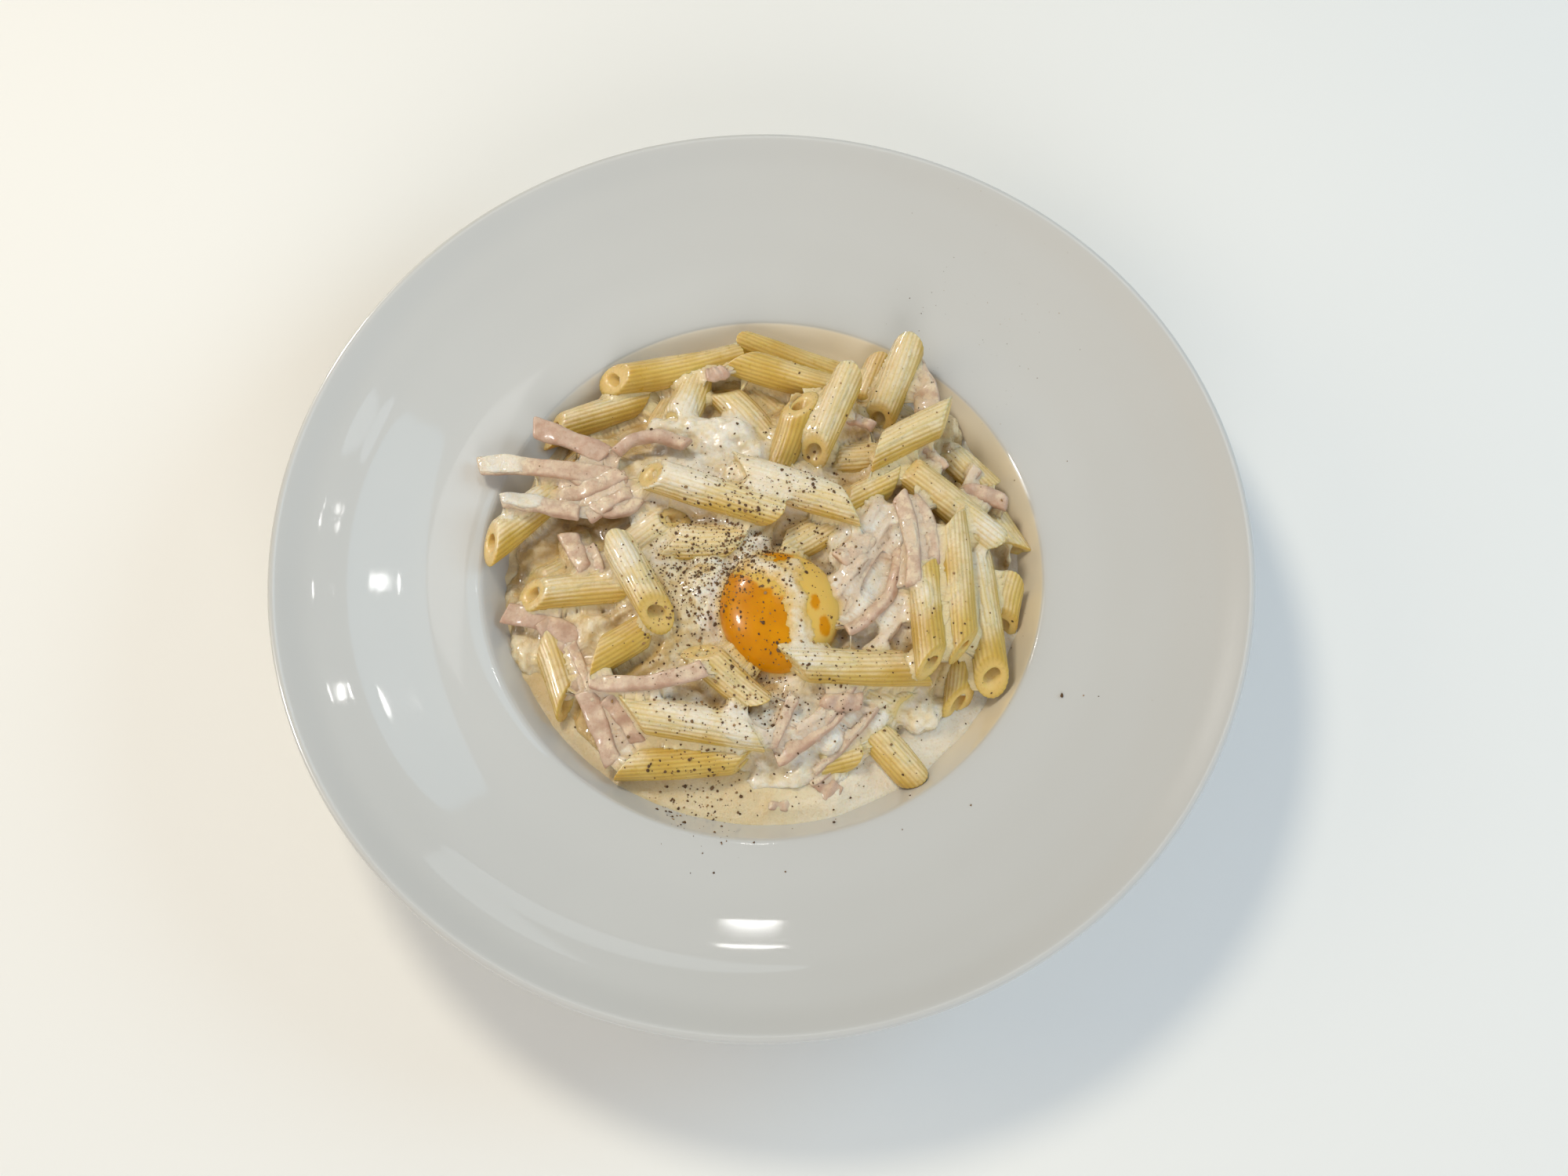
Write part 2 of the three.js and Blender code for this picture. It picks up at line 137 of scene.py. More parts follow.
Strip = namedtuple("Strip", "width thick lean cream start middle end")
HAM = [
    (6.4, 2.6, 12, 0.10, (-68, 41, 41), (-56, 36, 42), (-46, 31, 42)),
    (4.0, 3.2, 0, 0.10, (-43, 31, 44), (-34, 36, 45), (-22, 33, 45)),
    (6.0, 2.6, 10, 0.35, (-84, 30, 37), (-68, 28, 41), (-44, 24, 42)),
    (5.0, 2.6, -15, 0.50, (-76, 16, 43), (-66, 15, 43), (-53, 12, 43)),
    (4.4, 2.4, 0, 0.20, (-17, 58, 42), (-14, 58, 43), (-11, 59, 43)),
    (5.6, 2.6, 0, 0.35, (-60, 19, 38), (-51, 21, 41), (-41, 25, 43)),
    (5.0, 2.6, -10, 0.40, (-51, 12, 40), (-44, 16, 42), (-38, 19, 42)),
    (6.4, 2.4, 10, 0.15, (-75, -14, 30), (-64, -17, 31), (-53, -23, 31)),
    (6.0, 2.4, 20, 0.25, (-50, -39, 32), (-46, -49, 31), (-42, -59, 28)),
    (5.0, 2.6, 0, 0.30, (-49, -37, 36), (-33, -39, 40), (-16, -36, 44)),
    (5.0, 3.4, 15, 0.45, (40, 17, 44), (43, 3, 45), (43, -12, 45)),
    (4.6, 3.0, 20, 0.50, (44, 17, 42), (48, 7, 44), (49, -5, 42)),
    (5.0, 2.6, 10, 0.25, (59, 22, 36), (65, 21, 37), (72, 18, 36)),
    (3.4, 2.6, 0, 0.30, (25, 44, 40), (29, 43, 41), (33, 41, 41)),
    (4.0, 2.6, 35, 0.40, (39, 2, 40), (36, -13, 41), (24, -24, 42)),
    (6.5, 2.4, 0, 0.75, (31, 6, 42), (27, 1, 43), (22, -3, 43)),
    (5.6, 2.4, 10, 0.35, (22, -45, 35), (13, -53, 33), (4, -58, 30)),
    (6.5, 2.0, 0, 0.30, (15, -60, 23.4), (18, -64, 23), (22, -68, 22.8)),
    (3.4, 1.8, 0, 0.40, (1, -70, 22.8), (5, -70, 23), (10, -70, 22.8)),
    (5.0, 2.4, 25, 0.40, (17, -43, 37), (22, -44, 38), (28, -43, 36)),
    (8.0, 2.2, 30, 0.65, (45, 63, 39), (48, 56, 40), (49, 47, 40)),
    (4.0, 2.2, 40, 0.65, (47, 37, 38), (50, 33, 38), (54, 29, 37)),
    (5.4, 2.6, 0, 0.30, (-57, 8, 36), (-54, 2, 37.5), (-51, -4, 38)),
    (5.0, 2.4, 20, 0.35, (-44, -41, 33), (-39, -47, 32), (-35, -53, 29)),
]

# Small shreds of ham in the cream
SHREDS = [
    (2.8, 2.2, 20, 1.15, (40, 14, 41), (31, 2, 42), (21, -9, 41)),
    (2.6, 2.2, -20, 0.90, (36, 5, 40), (29, -6, 41), (24, -19, 39)),
    (2.8, 2.2, 10, 1.10, (41, -12, 38), (38, -22, 39), (30, -29, 38)),
    (3.2, 2.4, 0, 1.30, (35, 17, 40), (30, 9, 42), (25, 0, 41)),
    (3.0, 2.2, 15, 0.75, (32, -44, 33), (24, -53, 30), (15, -61, 25.5)),
    (3.4, 2.2, -10, 0.60, (9, -42, 37), (6, -49, 36), (3, -56, 33)),
    (2.6, 2.0, 0, 0.80, (28, -49, 29), (22, -57, 26.5), (14, -64, 23.5)),
    (4.6, 2.2, 20, 0.40, (-57, 26, 41), (-48, 22, 42), (-40, 24, 42)),
    (3.8, 2.0, 0, 0.50, (-50, 16, 41), (-42, 13, 42), (-36, 17, 42)),
    (3.0, 2.2, 0, 0.90, (-8, -45, 38), (-3, -51, 36), (3, -54, 34)),
    (2.8, 2.0, 0, 0.80, (64, 30, 35), (59, 21, 35), (56, 12, 33)),
    (2.6, 2.0, 0, 1.10, (21, -43, 36), (16, -48, 36), (10, -51, 34)),
    (2.4, 2.0, 0, 1.00, (30, -2, 43), (26, -7, 43), (22, -13, 42)),
    (4.6, 2.2, 0, 0.30, (-64, -17, 31), (-58, -27, 30), (-53, -39, 29)),
    (3.2, 2.0, 0, 0.45, (-55, -24, 31), (-51, -33, 32), (-47, -42, 33)),
    (3.2, 2.2, 0, 0.55, (27, -38, 38), (20, -46, 36), (15, -53, 33)),
    (3.0, 2.0, 20, 0.45, (-50, 4, 37), (-47, -3, 38), (-46, -9, 38)),
]

HAM_STRIPS = {f"ham_{i:02d}": Strip(*row) for i, row in enumerate(HAM, 1)}
SHRED_STRIPS = {f"shred_{i:02d}": Strip(*row) for i, row in enumerate(SHREDS, 1)}
ALL_STRIPS = HAM_STRIPS | SHRED_STRIPS
HAM_ROUGH = 0.16
HAM_VEIL = 0.65  # how strongly thin cream, and painted light on the lit side, whitens the ham
PENNE_VEIL = 0.8  # the same for the penne

# ---- the yolk, with places on it in reaches from its middle ----

YOLK_CENTRE = (5.0, -17.0, 38.0)
YOLK_REACH = (17.0, 18.5)
YOLK_CROWN = 10.5
YOLK_BELLY = 5.0
YOLK_BAND = [(-0.65, 0.8), (-0.17, 0.58), (0.18, 0.32), (0.31, -0.08), (0.34, -0.45), (0.38, -0.75)]
YOLK_BAND_WIDTH = 0.27
# Bare spots in the thin cream on the yolk: place, reach across and along
YOLK_SPOTS = [(-0.08, 0.84, 0.27, 0.17), (0.6, 0.0, 0.07, 0.12), (0.75, -0.36, 0.09, 0.14)]

# ---- cream: dollops as middle, reach in x, y, z, and whiteness, set low for some to paint the shade they lie in ----

DOLLOPS = [
    (-10, 39, 36, 13, 8, 7.5, 1.0), (-22, 41, 37.5, 7, 6, 5.5, 0.9), (-29.5, 41, 37, 5.5, 5, 5, 0.8),
    (-6, 24.5, 43.5, 6, 5, 4.5, 0.8), (-46, 28.5, 38, 6.5, 5, 4.5, 0.3), (-2, 33, 38, 6, 6, 5, 0.8),
    (-15, -10, 34, 10, 12, 8.5, 0.35), (-33, 17, 34, 9, 7, 6.5, 0.4), (-27, 4, 34, 8, 8, 6.5, 0.6),
    (-5, 3, 36, 10, 6, 6.5, 0.7), (28, 2, 38, 9, 13, 6, 1.0), (28, -15, 36, 7, 8, 6.5, 1.0),
    (36, -16, 36, 5, 13, 6, 0.9), (27, -45, 28, 11, 8, 7, 0.9), (45, -42, 24, 9, 7, 6, 0.7),
    (-29, -38.5, 37, 5, 3.6, 4.5, 1.0), (10, -50, 30, 9, 7, 6, 0.9), (-2, -50, 30, 8, 6, 6, 0.8),
    (-54, 4, 32, 7, 8, 6.5, 0.25), (-64, 16, 26, 8, 8, 6.5, 0.1), (-68, -22, 23, 6, 9, 5, 0.5),
    (-49, -20, 29.5, 9, 7, 6, 0.35), (-24, 34, 35, 8, 6, 6, 0.8), (-42, 20, 33, 8, 6, 5.5, 0.2),
    (58, 36, 30, 6, 6, 6, 0.4), (16, 34, 34, 8, 6, 6, 0.5), (38, 27, 31, 8, 6, 6, 0.4),
    (-46, 38, 29, 8, 5, 5, 0.3), (18, -63, 17, 13, 8, 5.5, 0.6), (-21, -42, 31, 9, 5, 5.5, 0.5),
    (-39, -55, 25, 6, 6, 6, 0.4), (-38, -14, 32, 6, 6, 5, 0.6), (-13, -29, 35, 7, 5, 5, 0.8),
    (12, -56, 22.5, 12, 10, 6.5, 0.75), (17, -59, 21, 11, 8, 7, 0.7), (3, -59, 20, 12, 9, 5.5, 0.65),
    (22, -54, 23, 9, 8, 7.5, 0.8), (0, -51, 25, 10, 8, 7, 0.6), (-66, 8, 24, 8, 10, 7, 0.2),
    (-70, -8, 21, 7, 12, 6, 0.2), (-60, 28, 24, 9, 9, 8, 0.2), (-52, 42, 22, 9, 8, 7, 0.3),
    (62, 2, 22, 7, 12, 7, 0.4), (52, 46, 24, 9, 9, 9, 0.4), (24, 62, 24, 12, 8, 8, 0.3),
    (-40, 56, 22, 12, 7, 7, 0.3), (-6, 66, 22, 14, 6, 7, 0.3), (51, -9, 32, 3, 10, 5, 0.05),
    (60, -14, 28, 3, 10, 5, 0.05), (50, -24, 30, 4, 8, 5, 0.1), (1, -46, 31, 6, 5, 6, 0.6),
    (19, -52, 29, 6, 6, 6, 0.8), (37, 6, 36, 6, 12, 6, 0.9),
]
DOLLOP_SPREAD = 1.15  # how far a dollop's whiteness reaches, in its own reaches
# Where more or less cream lies on the pieces: x, y, reach, and what it adds to their cream share
SPLASHES = [
    (-26, 22, 12, 0.6), (-16, 21, 8, 0.3), (3, 22, 8, 0.6), (14, 21, 9, 0.6), (-39, -3, 8, 0.5),
    (-18, -47, 6, 0.6), (-7, -51, 5, 0.6), (-28, -45, 5, 0.35), (11, -33, 8, 0.5), (62, 36, 6, 0.2),
    (44, 62, 7, 0.3), (-24, 50, 5, 0.2), (22, -31, 6, 0.2), (64, -4, 8, 0.25), (57, 3, 8, 0.25),
    (45, -14, 5, 0.4), (66, -18, 7, 0.3), (-22, 46, 8, 0.4), (-8, 44, 7, 0.35), (-78, 29, 8, 0.7),
    (-70, 16, 8, 0.7), (20, 42, 8, 0.25), (40, 52, 8, 0.2), (-60, -8, 7, 0.3), (-38, -59, 6, 0.5),
    (-5, -59, 6, 0.4), (42, -50, 7, 0.35), (66, 10, 8, 0.5), (44, 4, 6, 0.25), (-52, 54, 8, 0.2),
    (51, -6, 5, -0.5), (57, -23, 6, -0.4), (68, -28, 7, -0.3), (47, -26, 6, -0.3), (16, 14, 6, -0.3),
    (-12, 11, 7, -0.2), (37, -36, 6, -0.2), (-30, -24, 7, -0.3), (60, 12, 8, -0.2),
]
# Where the cream is thin and bluish with painted cool light: x, y, reach across and along
WHEY_COOL_LIGHT = [(28, -2, 9, 17), (14, -50, 14, 8), (-78, 29, 8, 5), (-70, 16, 9, 4)]
SWELL = 1.2  # how far the outsides swell before the cream closes over them
SWELL_BORE = 0.8  # the same for ends and bores
CREAM_KEPT = 0.62  # share of the cream's faces that is kept when the hidden ones are thinned out
CUT_UNDER = 1.2  # how far under the sauce the cream is cut level
CREAMED_AND_LIT_SIDE = np.array([-0.35, 0.35, 0.87])  # the side of a piece that keeps most cream and that the window lamp lights, so partly painted light
# The film's height over a piece's own surface, which shows where the height is negative
FILM_BARE = -1.8  # without any cream
FILM_SHARE = 1.5  # what a full cream share adds
FILM_CREAMED_AND_LIT_SIDE = 1.12  # what facing the side that keeps most cream and is lit adds, partly painted light
FILM_LEAST = -0.75
FILM_MOST = 0.9
FILM_SUNK = 0.12  # how far the cream goes under a surface that shows
HAM_BARER = 0.3  # how much lower the film is on ham
NEARLY_COVERED = 0.85  # cream share from which cut ends and bores are closed too
END_FILM_MOST = -0.25  # the film's height on other cut ends and bores at the most
VEIL_SPAN = (-0.9, 0.1)  # film heights at which the whitening of the pieces starts and is full
YOLK_CREAM_WHITE = 0.85
CORE_SUNK = 3  # how far the base of the heap's core goes under the sauce

# ---- pepper: x, y, spread, count, size against the usual one ----

PEPPER_CLOUDS = [
    (-8, 10, 9, 300, 1.1), (-22, -1, 8, 320, 1.1), (-5, -1, 6, 360, 1.05), (0, -12, 10, 160, 1),
    (-18, -10, 7, 420, 1.05), (-22, -22, 9, 110, 1.1), (16, 28, 13, 150, 1), (36, 44, 11, 90, 0.8),
    (28, -36, 12, 190, 1.05), (-10, -42, 11, 230, 1.1), (-17, -65, 7, 190, 1.2), (5, -38, 7, 190, 1.1),
    (50, -22, 12, 60, 0.9), (58, 20, 14, 30, 0.8), (-44, 22, 12, 30, 0.9), (20, 2, 10, 100, 0.9),
    (-24, 34, 8, 40, 1), (66, 78, 14, 90, 0.38), (92, -30, 22, 10, 0.5), (20, -60, 14, 40, 1),
    (-15, -77, 8, 18, 0.7), (12, 15, 7, 110, 1), (4, -3, 9, 120, 1.1), (-30, -48, 9, 60, 1),
    (-70, 50, 0, 1, 1.5), (58, -73, 0, 1, 1.8), (85, -41, 0, 1, 1.7), (95, -42, 0, 1, 1),
    (-2, -83, 0, 1, 1.1), (76, -20, 0, 1, 0.9),
]
PEPPER_REACH = 139.0  # flecks past this radius miss the bowl
FLECK_RADIUS = 0.55  # against the fleck's size
FLECK_LIFT = 0.12
FLECK_RAGGED = 0.1
FLECK_SIZES = (-0.35, 0.5)  # middle and spread of the logarithm of a fleck's size
FLECK_MOST = 1.9

# ---- camera and lamps ----

CAMERA_AIM = (6.3, -14.3, 50.0)
CAMERA_DISTANCE = 517.3
CAMERA_ELEVATION = 67.57
CAMERA_LENS = 42.25
CAMERA_SENSOR = 36.0
ABOVE_ALL = 90  # a height clear of the whole dish
TABLE_HALF = 6.0  # half the side of the table top, in metres
TABLE_SHADES = ((0.86, 0.86, 0.85), (0.9, 0.9, 0.89))
ROOM_TINT = (0.96, 0.98, 1.0)
WHITE = (1.0, 1.0, 1.0)
LAMP_TINT = (1.0, 0.98, 0.95)
LAMPS_FACE = (0, 0, 30)
# Lamps that are mirrored in the rim: x and y of the glint, width, length, brightness, tint
GLINTS = [
    (-124.5, 9.5, 5, 20, 60, LAMP_TINT), (-121, 10.5, 3, 14, 40, LAMP_TINT),
    (-122.5, -12.5, 6, 24, 60, LAMP_TINT), (-105.5, -7.5, 4, 18, 60, LAMP_TINT),
    (-114.5, -43.5, 7, 22, 60, LAMP_TINT), (-97, -43.5, 6, 30, 55, LAMP_TINT),
    (-6, -108.5, 5, 40, 50, LAMP_TINT), (-120, 40, 60, 110, 2.0, (0.75, 0.88, 1.0)),
    (-112, -14, 240, 460, 1.6, (0.45, 0.75, 1.0)), (-40, -112, 120, 340, 1.4, (0.8, 0.92, 1.0)),
]
GLINT_DISTANCE = 1400.0
# Soft lights, which reflections leave out: name, x, y, z, size, power, tint
SOFT_LIGHTS = [
    ("window", -330, 330, 880, 220, 3.9, (1.0, 0.90, 0.71)),
    ("room_front", 100, -1200, 760, 900, 6.6, (1.0, 0.985, 0.95)),
    ("room_left", -1000, 0, 700, 700, 2.0, (1.0, 0.77, 0.42)),
    ("room_right", 1000, 200, 700, 700, 4.7, (0.54, 0.80, 1.0)),
]
# Panels that are seen in wet surfaces alone: name, x, y, z, size, brightness
WET_PANELS = [
    ("panel_left", -1020, 20, 640, 170, 100.0),
    ("panel_back", -740, 760, 560, 140, 90.0),
    ("panel_above", 0, 440, 1120, 260, 1.6),
]


# ---- numbers over meshes ----

def soft_step(values, low, high):
    """0 below low, 1 above high, and smooth in between."""
    t = np.clip((values - low) / (high - low), 0, 1)
    return t * t * (3 - 2 * t)


def cloud(points, size, octaves=2, shift=0.0):
    """Smooth noise of about -1 to 1 over points in millimetres, in lumps of the given size."""
    offset = Vector((shift, 2.3 * shift, -1.7 * shift))
    return np.array([noise.fractal(Vector(p) / size + offset, 1.0, 2.0, octaves) for p in points])


def curds(points, size, shift=0.0):
    """Rounded lumps side by side: 0 in the creases, towards 1 on the lumps."""
    offset = Vector((shift, shift, shift))
    return np.array([1 - min(noise.voronoi(Vector(p) / size + offset)[0][0], 1.0) ** 2 for p in points])


def vectors(items, name):
    """A vector of each item, as rows of numbers."""
    flat = np.empty(len(items) * 3, np.float32)
    items.foreach_get(name, flat)
    return flat.reshape(-1, 3).astype(float)


def points_of(mesh):
    return vectors(mesh.vertices, "co")


def normals_of(mesh):
    return vectors(mesh.vertex_normals, "vector")


def move_points(mesh, points):
    mesh.vertices.foreach_set("co", np.asarray(points, np.float32).ravel())
    mesh.update()


def paint(mesh, name, values):
    """Stores one number per vertex for the materials."""
    mesh.attributes.new(name, "FLOAT", "POINT").data.foreach_set("value", np.asarray(values, np.float32))


def between(first, second, share):
    """The colour a share of the way from the first to the second."""
    return [(1 - share) * a + share * b for a, b in zip(first, second)]


def paint_colour(mesh, name, colours):
    whole = np.c_[colours, np.ones(len(colours))].astype(np.float32)
    mesh.attributes.new(name, "FLOAT_COLOR", "POINT").data.foreach_set("color", whole.ravel())


def mesh_from(bm, name):
    mesh = bpy.data.meshes.new(name)
    bm.to_mesh(mesh)
    bm.free()
    return mesh


def gathered(meshes):
    """A bmesh of meshes side by side."""
    bm = bmesh.new()
    for mesh in meshes:
        bm.from_mesh(mesh)
    return bm


def tree_of(*meshes):
    """One search tree over the faces of meshes."""
    bm = gathered(meshes)
    tree = BVHTree.FromBMesh(bm)
    bm.free()
    return tree


def serve(name, mesh, material, slot=None, *nodes):
    """Puts a finished mesh, in millimetres, on the dish in place of its solids."""
    mesh.transform(Matrix.Scale(MM, 4))
    mesh.materials.append(material)
    mesh.shade_smooth()
    piece = bpy.data.objects.new(name, mesh)
    bpy.context.scene.collection.objects.link(piece)
    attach(piece, "root")
    if nodes:
        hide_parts(*nodes)
    return piece


# ---- nodes of the materials ----

def feed(tree, node, inputs):
    """Gives a node's inputs, under their names or numbers, their values or the sockets that feed them."""
    for key, value in inputs.items():
        if isinstance(value, bpy.types.NodeSocket):
            tree.links.new(value, node.inputs[key])
        else:
            node.inputs[key].default_value = value


def add_node(tree, kind, settings=None, **inputs):
    """Adds a node. An input goes under its name or as _number."""
    node = tree.nodes.new(kind)
    for key, value in (settings or {}).items():
        setattr(node, key, value)
    feed(tree, node, {int(key[1:]) if key[0] == "_" else key.replace("_", " "): value
                      for key, value in inputs.items()})
    return node


def new_material(name):
    material = bpy.data.materials.new(name)
    material.use_nodes = True
    tree = material.node_tree
    tree.nodes.clear()
    shader = add_node(tree, "ShaderNodeBsdfPrincipled")
    add_node(tree, "ShaderNodeOutputMaterial", Surface=shader.outputs["BSDF"]).location = (300, 0)
    return material, tree, shader


def dress(tree, shader, base, roughness, normal=None, flesh=None, coat=None):
    """Feeds a shader. Flesh is the share of the light that sinks in, its reach by colour and its depth in
    millimetres, and coat is the weight and roughness of the wet film on top."""
    feed(tree, shader, {"Base Color": base, "Roughness": roughness})
    if normal:
        feed(tree, shader, {"Normal": normal})
    if flesh:
        share, reach, depth = flesh
        feed(tree, shader, {"Subsurface Weight": share, "Subsurface Radius": reach,
                            "Subsurface Scale": depth * MM})
    if coat:
        feed(tree, shader, {"Coat Weight": coat[0], "Coat Roughness": coat[1]})


def colour(rgb):
    return (*rgb, 1.0)


def attribute(tree, name, output="Fac"):
    return add_node(tree, "ShaderNodeAttribute", {"attribute_name": name}).outputs[output]


def blend_colours(tree, share, first, second):
    return add_node(tree, "ShaderNodeMix", {"data_type": "RGBA"}, _0=share, _6=first, _7=second).outputs[2]


def product(tree, first, second):
    return add_node(tree, "ShaderNodeMath", {"operation": "MULTIPLY"}, _0=first, _1=second).outputs[0]


def remap(tree, value, from_low, from_high, to_low, to_high):
    return add_node(tree, "ShaderNodeMapRange", {"interpolation_type": "SMOOTHSTEP"}, Value=value,
                    From_Min=from_low, From_Max=from_high, To_Min=to_low, To_Max=to_high).outputs[0]


def grain_group():
    """Fine grain on moist food: a bumped normal, and the grain itself as a mask."""
    made = bpy.data.node_groups.get("Moist grain")
    if made:
        return made
    group = bpy.data.node_groups.new("Moist grain", "ShaderNodeTree")
    for name, kind, default in (("Size", "NodeSocketFloat", 1.0), ("Depth", "NodeSocketFloat", 0.1)):
        group.interface.new_socket(name, in_out="INPUT", socket_type=kind).default_value = default
    group.interface.new_socket("Grain", in_out="OUTPUT", socket_type="NodeSocketFloat")
    group.interface.new_socket("Normal", in_out="OUTPUT", socket_type="NodeSocketVector")
    start = group.nodes.new("NodeGroupInput")
    end = group.nodes.new("NodeGroupOutput")
    where = add_node(group, "ShaderNodeTexCoord").outputs["Object"]
    scale = add_node(group, "ShaderNodeMath", {"operation": "DIVIDE"}, _0=1 / MM, _1=start.outputs["Size"])
    fine = add_node(group, "ShaderNodeTexNoise", Vector=where, Scale=scale.outputs[0], Detail=4.0,
                    Roughness=0.6)
    bump = add_node(group, "ShaderNodeBump", Height=fine.outputs[0],
                    Distance=product(group, start.outputs["Depth"], MM), Strength=1.0)
    group.links.new(fine.outputs[0], end.inputs["Grain"])
    group.links.new(bump.outputs[0], end.inputs["Normal"])
    return group


def grain(tree, size, depth):
    return add_node(tree, "ShaderNodeGroup", {"node_tree": grain_group()}, Size=size, Depth=depth)


def lumps(tree, size):
    """Noise from 0 to 1 in lumps of the given size in millimetres."""
    where = add_node(tree, "ShaderNodeTexCoord").outputs["Object"]
    return add_node(tree, "ShaderNodeTexNoise", Vector=where, Scale=1 / MM / size, Detail=3.0).outputs[0]


def uneven(tree, size, low, high):
    """A number that wanders between low and high in lumps of the given size."""
    return remap(tree, lumps(tree, size), 0.3, 0.7, low, high)


def mottled(tree, size, first, second, low=0.35, high=0.7):
    """Two colours in soft patches of the given size."""
    patches = remap(tree, lumps(tree, size), low, high, 0, 1)
    return blend_colours(tree, patches, colour(first), colour(second))


def painted(tree, shade, name, over):
    """The shade, with another colour over it where the mesh is painted under that name."""
    return blend_colours(tree, attribute(tree, name), shade, colour(over))


def veiled(tree, shade, size, least, veil):
    """The shade under the thin cream that the mesh is painted with, partly painted light on its lit side,
    broken up in patches.
    """
    patchy = remap(tree, lumps(tree, size), 0.35, 0.65, least, 1.0)
    return blend_colours(tree, product(tree, attribute(tree, "veil"), patchy), shade, colour(veil))


def speckled(tree, shade, skin, dark, most):
    """The shade with small darker specks where the grain is high."""
    return blend_colours(tree, remap(tree, skin.outputs["Grain"], 0.5, 0.72, 0, most), shade, colour(dark))


def glaze_material(colours):
    material, tree, shader = new_material("White glaze")
    clouded = [0.985 * c for c in colours.glaze]
    shade = mottled(tree, 60, colours.glaze, clouded, 0.35, 0.65)
    # Painted light: a pale warm colour lifts the shaded wall at the back, tinted like the food's bounce
    shade = painted(tree, shade, "painted_back_wall_light", colours.thin_stain)
    # Right of the well's wall: sauce, partly painted light, brighter than the glaze and warm like the food's
    # bounce
    shade = painted(tree, shade, "sauce_stain_and_painted_light", colours.stain)
    shade = painted(tree, shade, "bare_foot", BARE_CLAY)
    roughness = remap(tree, attribute(tree, "bare_foot"), 0, 1, 0.3, 0.7)
    dress(tree, shader, shade, roughness, grain(tree, 9.0, 0.05).outputs["Normal"], coat=(0.8, 0.035))
    return material


def pasta_material(colours):
    material, tree, shader = new_material("Cooked pasta")
    shade = mottled(tree, 9, colours.pasta, colours.pasta_pale)
    # Painted shade: the grooves between the ridges are darkened as shade would darken them; the same colour
    # makes the small specks
    groove = product(tree, attribute(tree, "groove"), 0.6)
    shade = blend_colours(tree, groove, shade, colour(colours.pasta_groove))
    # Painted glow: the inside of the tubes is brighter and more golden, as light through their walls would
    # make it
    shade = painted(tree, shade, "bore", colours.bore)
    shade = veiled(tree, shade, 3.0, 0.65, colours.veil)
    skin = grain(tree, 0.9, 0.13)
    dress(tree, shader, speckled(tree, shade, skin, colours.pasta_groove, 0.3), uneven(tree, 3, 0.26, 0.46),
          skin.outputs["Normal"], flesh=(0.5, (1.0, 0.62, 0.25), 2.4), coat=(0.55, 0.1))
    return material


def cream_material(colours):
    """Cream that goes from deep to foamy, thin where the colour under it shows, with the ridges of the
    penne through the thin film and painted shade in their grooves."""
    material, tree, shader = new_material("Cream sauce")
    white = attribute(tree, "foam")
    # Deep cream, also the painted shade of the heap's shadowed places
    shade = blend_colours(tree, remap(tree, white, 0.0, 0.55, 0, 1), colour(colours.cream_deep),
                          colour(colours.cream))
    shade = blend_colours(tree, remap(tree, white, 0.45, 1.0, 0, 1), shade, colour(colours.foam))
    # Painted shade in the hollows between the pieces
    shade = painted(tree, shade, "hollow", colours.hollow)
    # Thin cream, bluish with painted cool light
    shade = painted(tree, shade, "whey", colours.whey)
    shade = blend_colours(tree, attribute(tree, "thick"), attribute(tree, "under", "Color"), shade)
    wave = add_node(tree, "ShaderNodeMath", {"operation": "COSINE"}, _0=attribute(tree, "ridge_phase"))
    ridge = product(tree, wave.outputs[0], attribute(tree, "ribbed"))
    # Painted shade: the grooves of the ridges under the film are drawn golden and darker
    groove_shade_on_film = remap(tree, ridge, -0.1, -1.0, 0, 0.42)
    shade = blend_colours(tree, groove_shade_on_film, shade, colour(colours.pasta_pale))
    curd = grain(tree, 0.9, 0.32)
    bump = add_node(tree, "ShaderNodeBump", Height=ridge, Distance=0.08 * MM, Strength=0.8,
                    Normal=curd.outputs["Normal"])
    dress(tree, shader, speckled(tree, shade, curd, colours.cream_deep, 0.35), uneven(tree, 2, 0.2, 0.5),
          bump.outputs[0], flesh=(0.5, (1.0, 0.75, 0.5), 1.8), coat=(0.7, 0.07))
    return material


def yolk_material(colours):
    material, tree, shader = new_material("Raw yolk")
    shade = mottled(tree, 8, colours.yolk, colours.yolk_deep, 0.3, 0.7)
    shade = painted(tree, shade, "skin", colours.yolk_skin)
    dress(tree, shader, shade, 0.3, grain(tree, 3.0, 0.05).outputs["Normal"],
          flesh=(0.3, (1.0, 0.35, 0.05), 2.5), coat=(0.18, 0.06))
    shader.inputs["Specular IOR Level"].default_value = 0.15
    return material


def ham_material(colours):
    material, tree, shader = new_material("Cooked ham")
    shade = mottled(tree, 3.5, colours.ham, colours.ham_pale)
    shade = veiled(tree, shade, 2.6, 0.35, colours.veil)
    fibre = grain(tree, 0.9, 0.3)
    dress(tree, shader, speckled(tree, shade, fibre, colours.ham, 0.6), uneven(tree, 2, 0.34, 0.58),
          fibre.outputs["Normal"], flesh=(0.35, (1.0, 0.6, 0.5), 2.0), coat=(0.35, 0.18))
    return material


def pepper_material(colours):
    material, tree, shader = new_material("Ground pepper")
    dress(tree, shader, painted(tree, colour(colours.pepper), "husk", colours.pepper_husk), 0.75)
    return material


def floor_material():
    material, tree, shader = new_material("Pale table top")
    shade = blend_colours(tree, lumps(tree, 400), *map(colour, TABLE_SHADES))
    dress(tree, shader, shade, 0.7)
    return material


# ---- the bowl ----

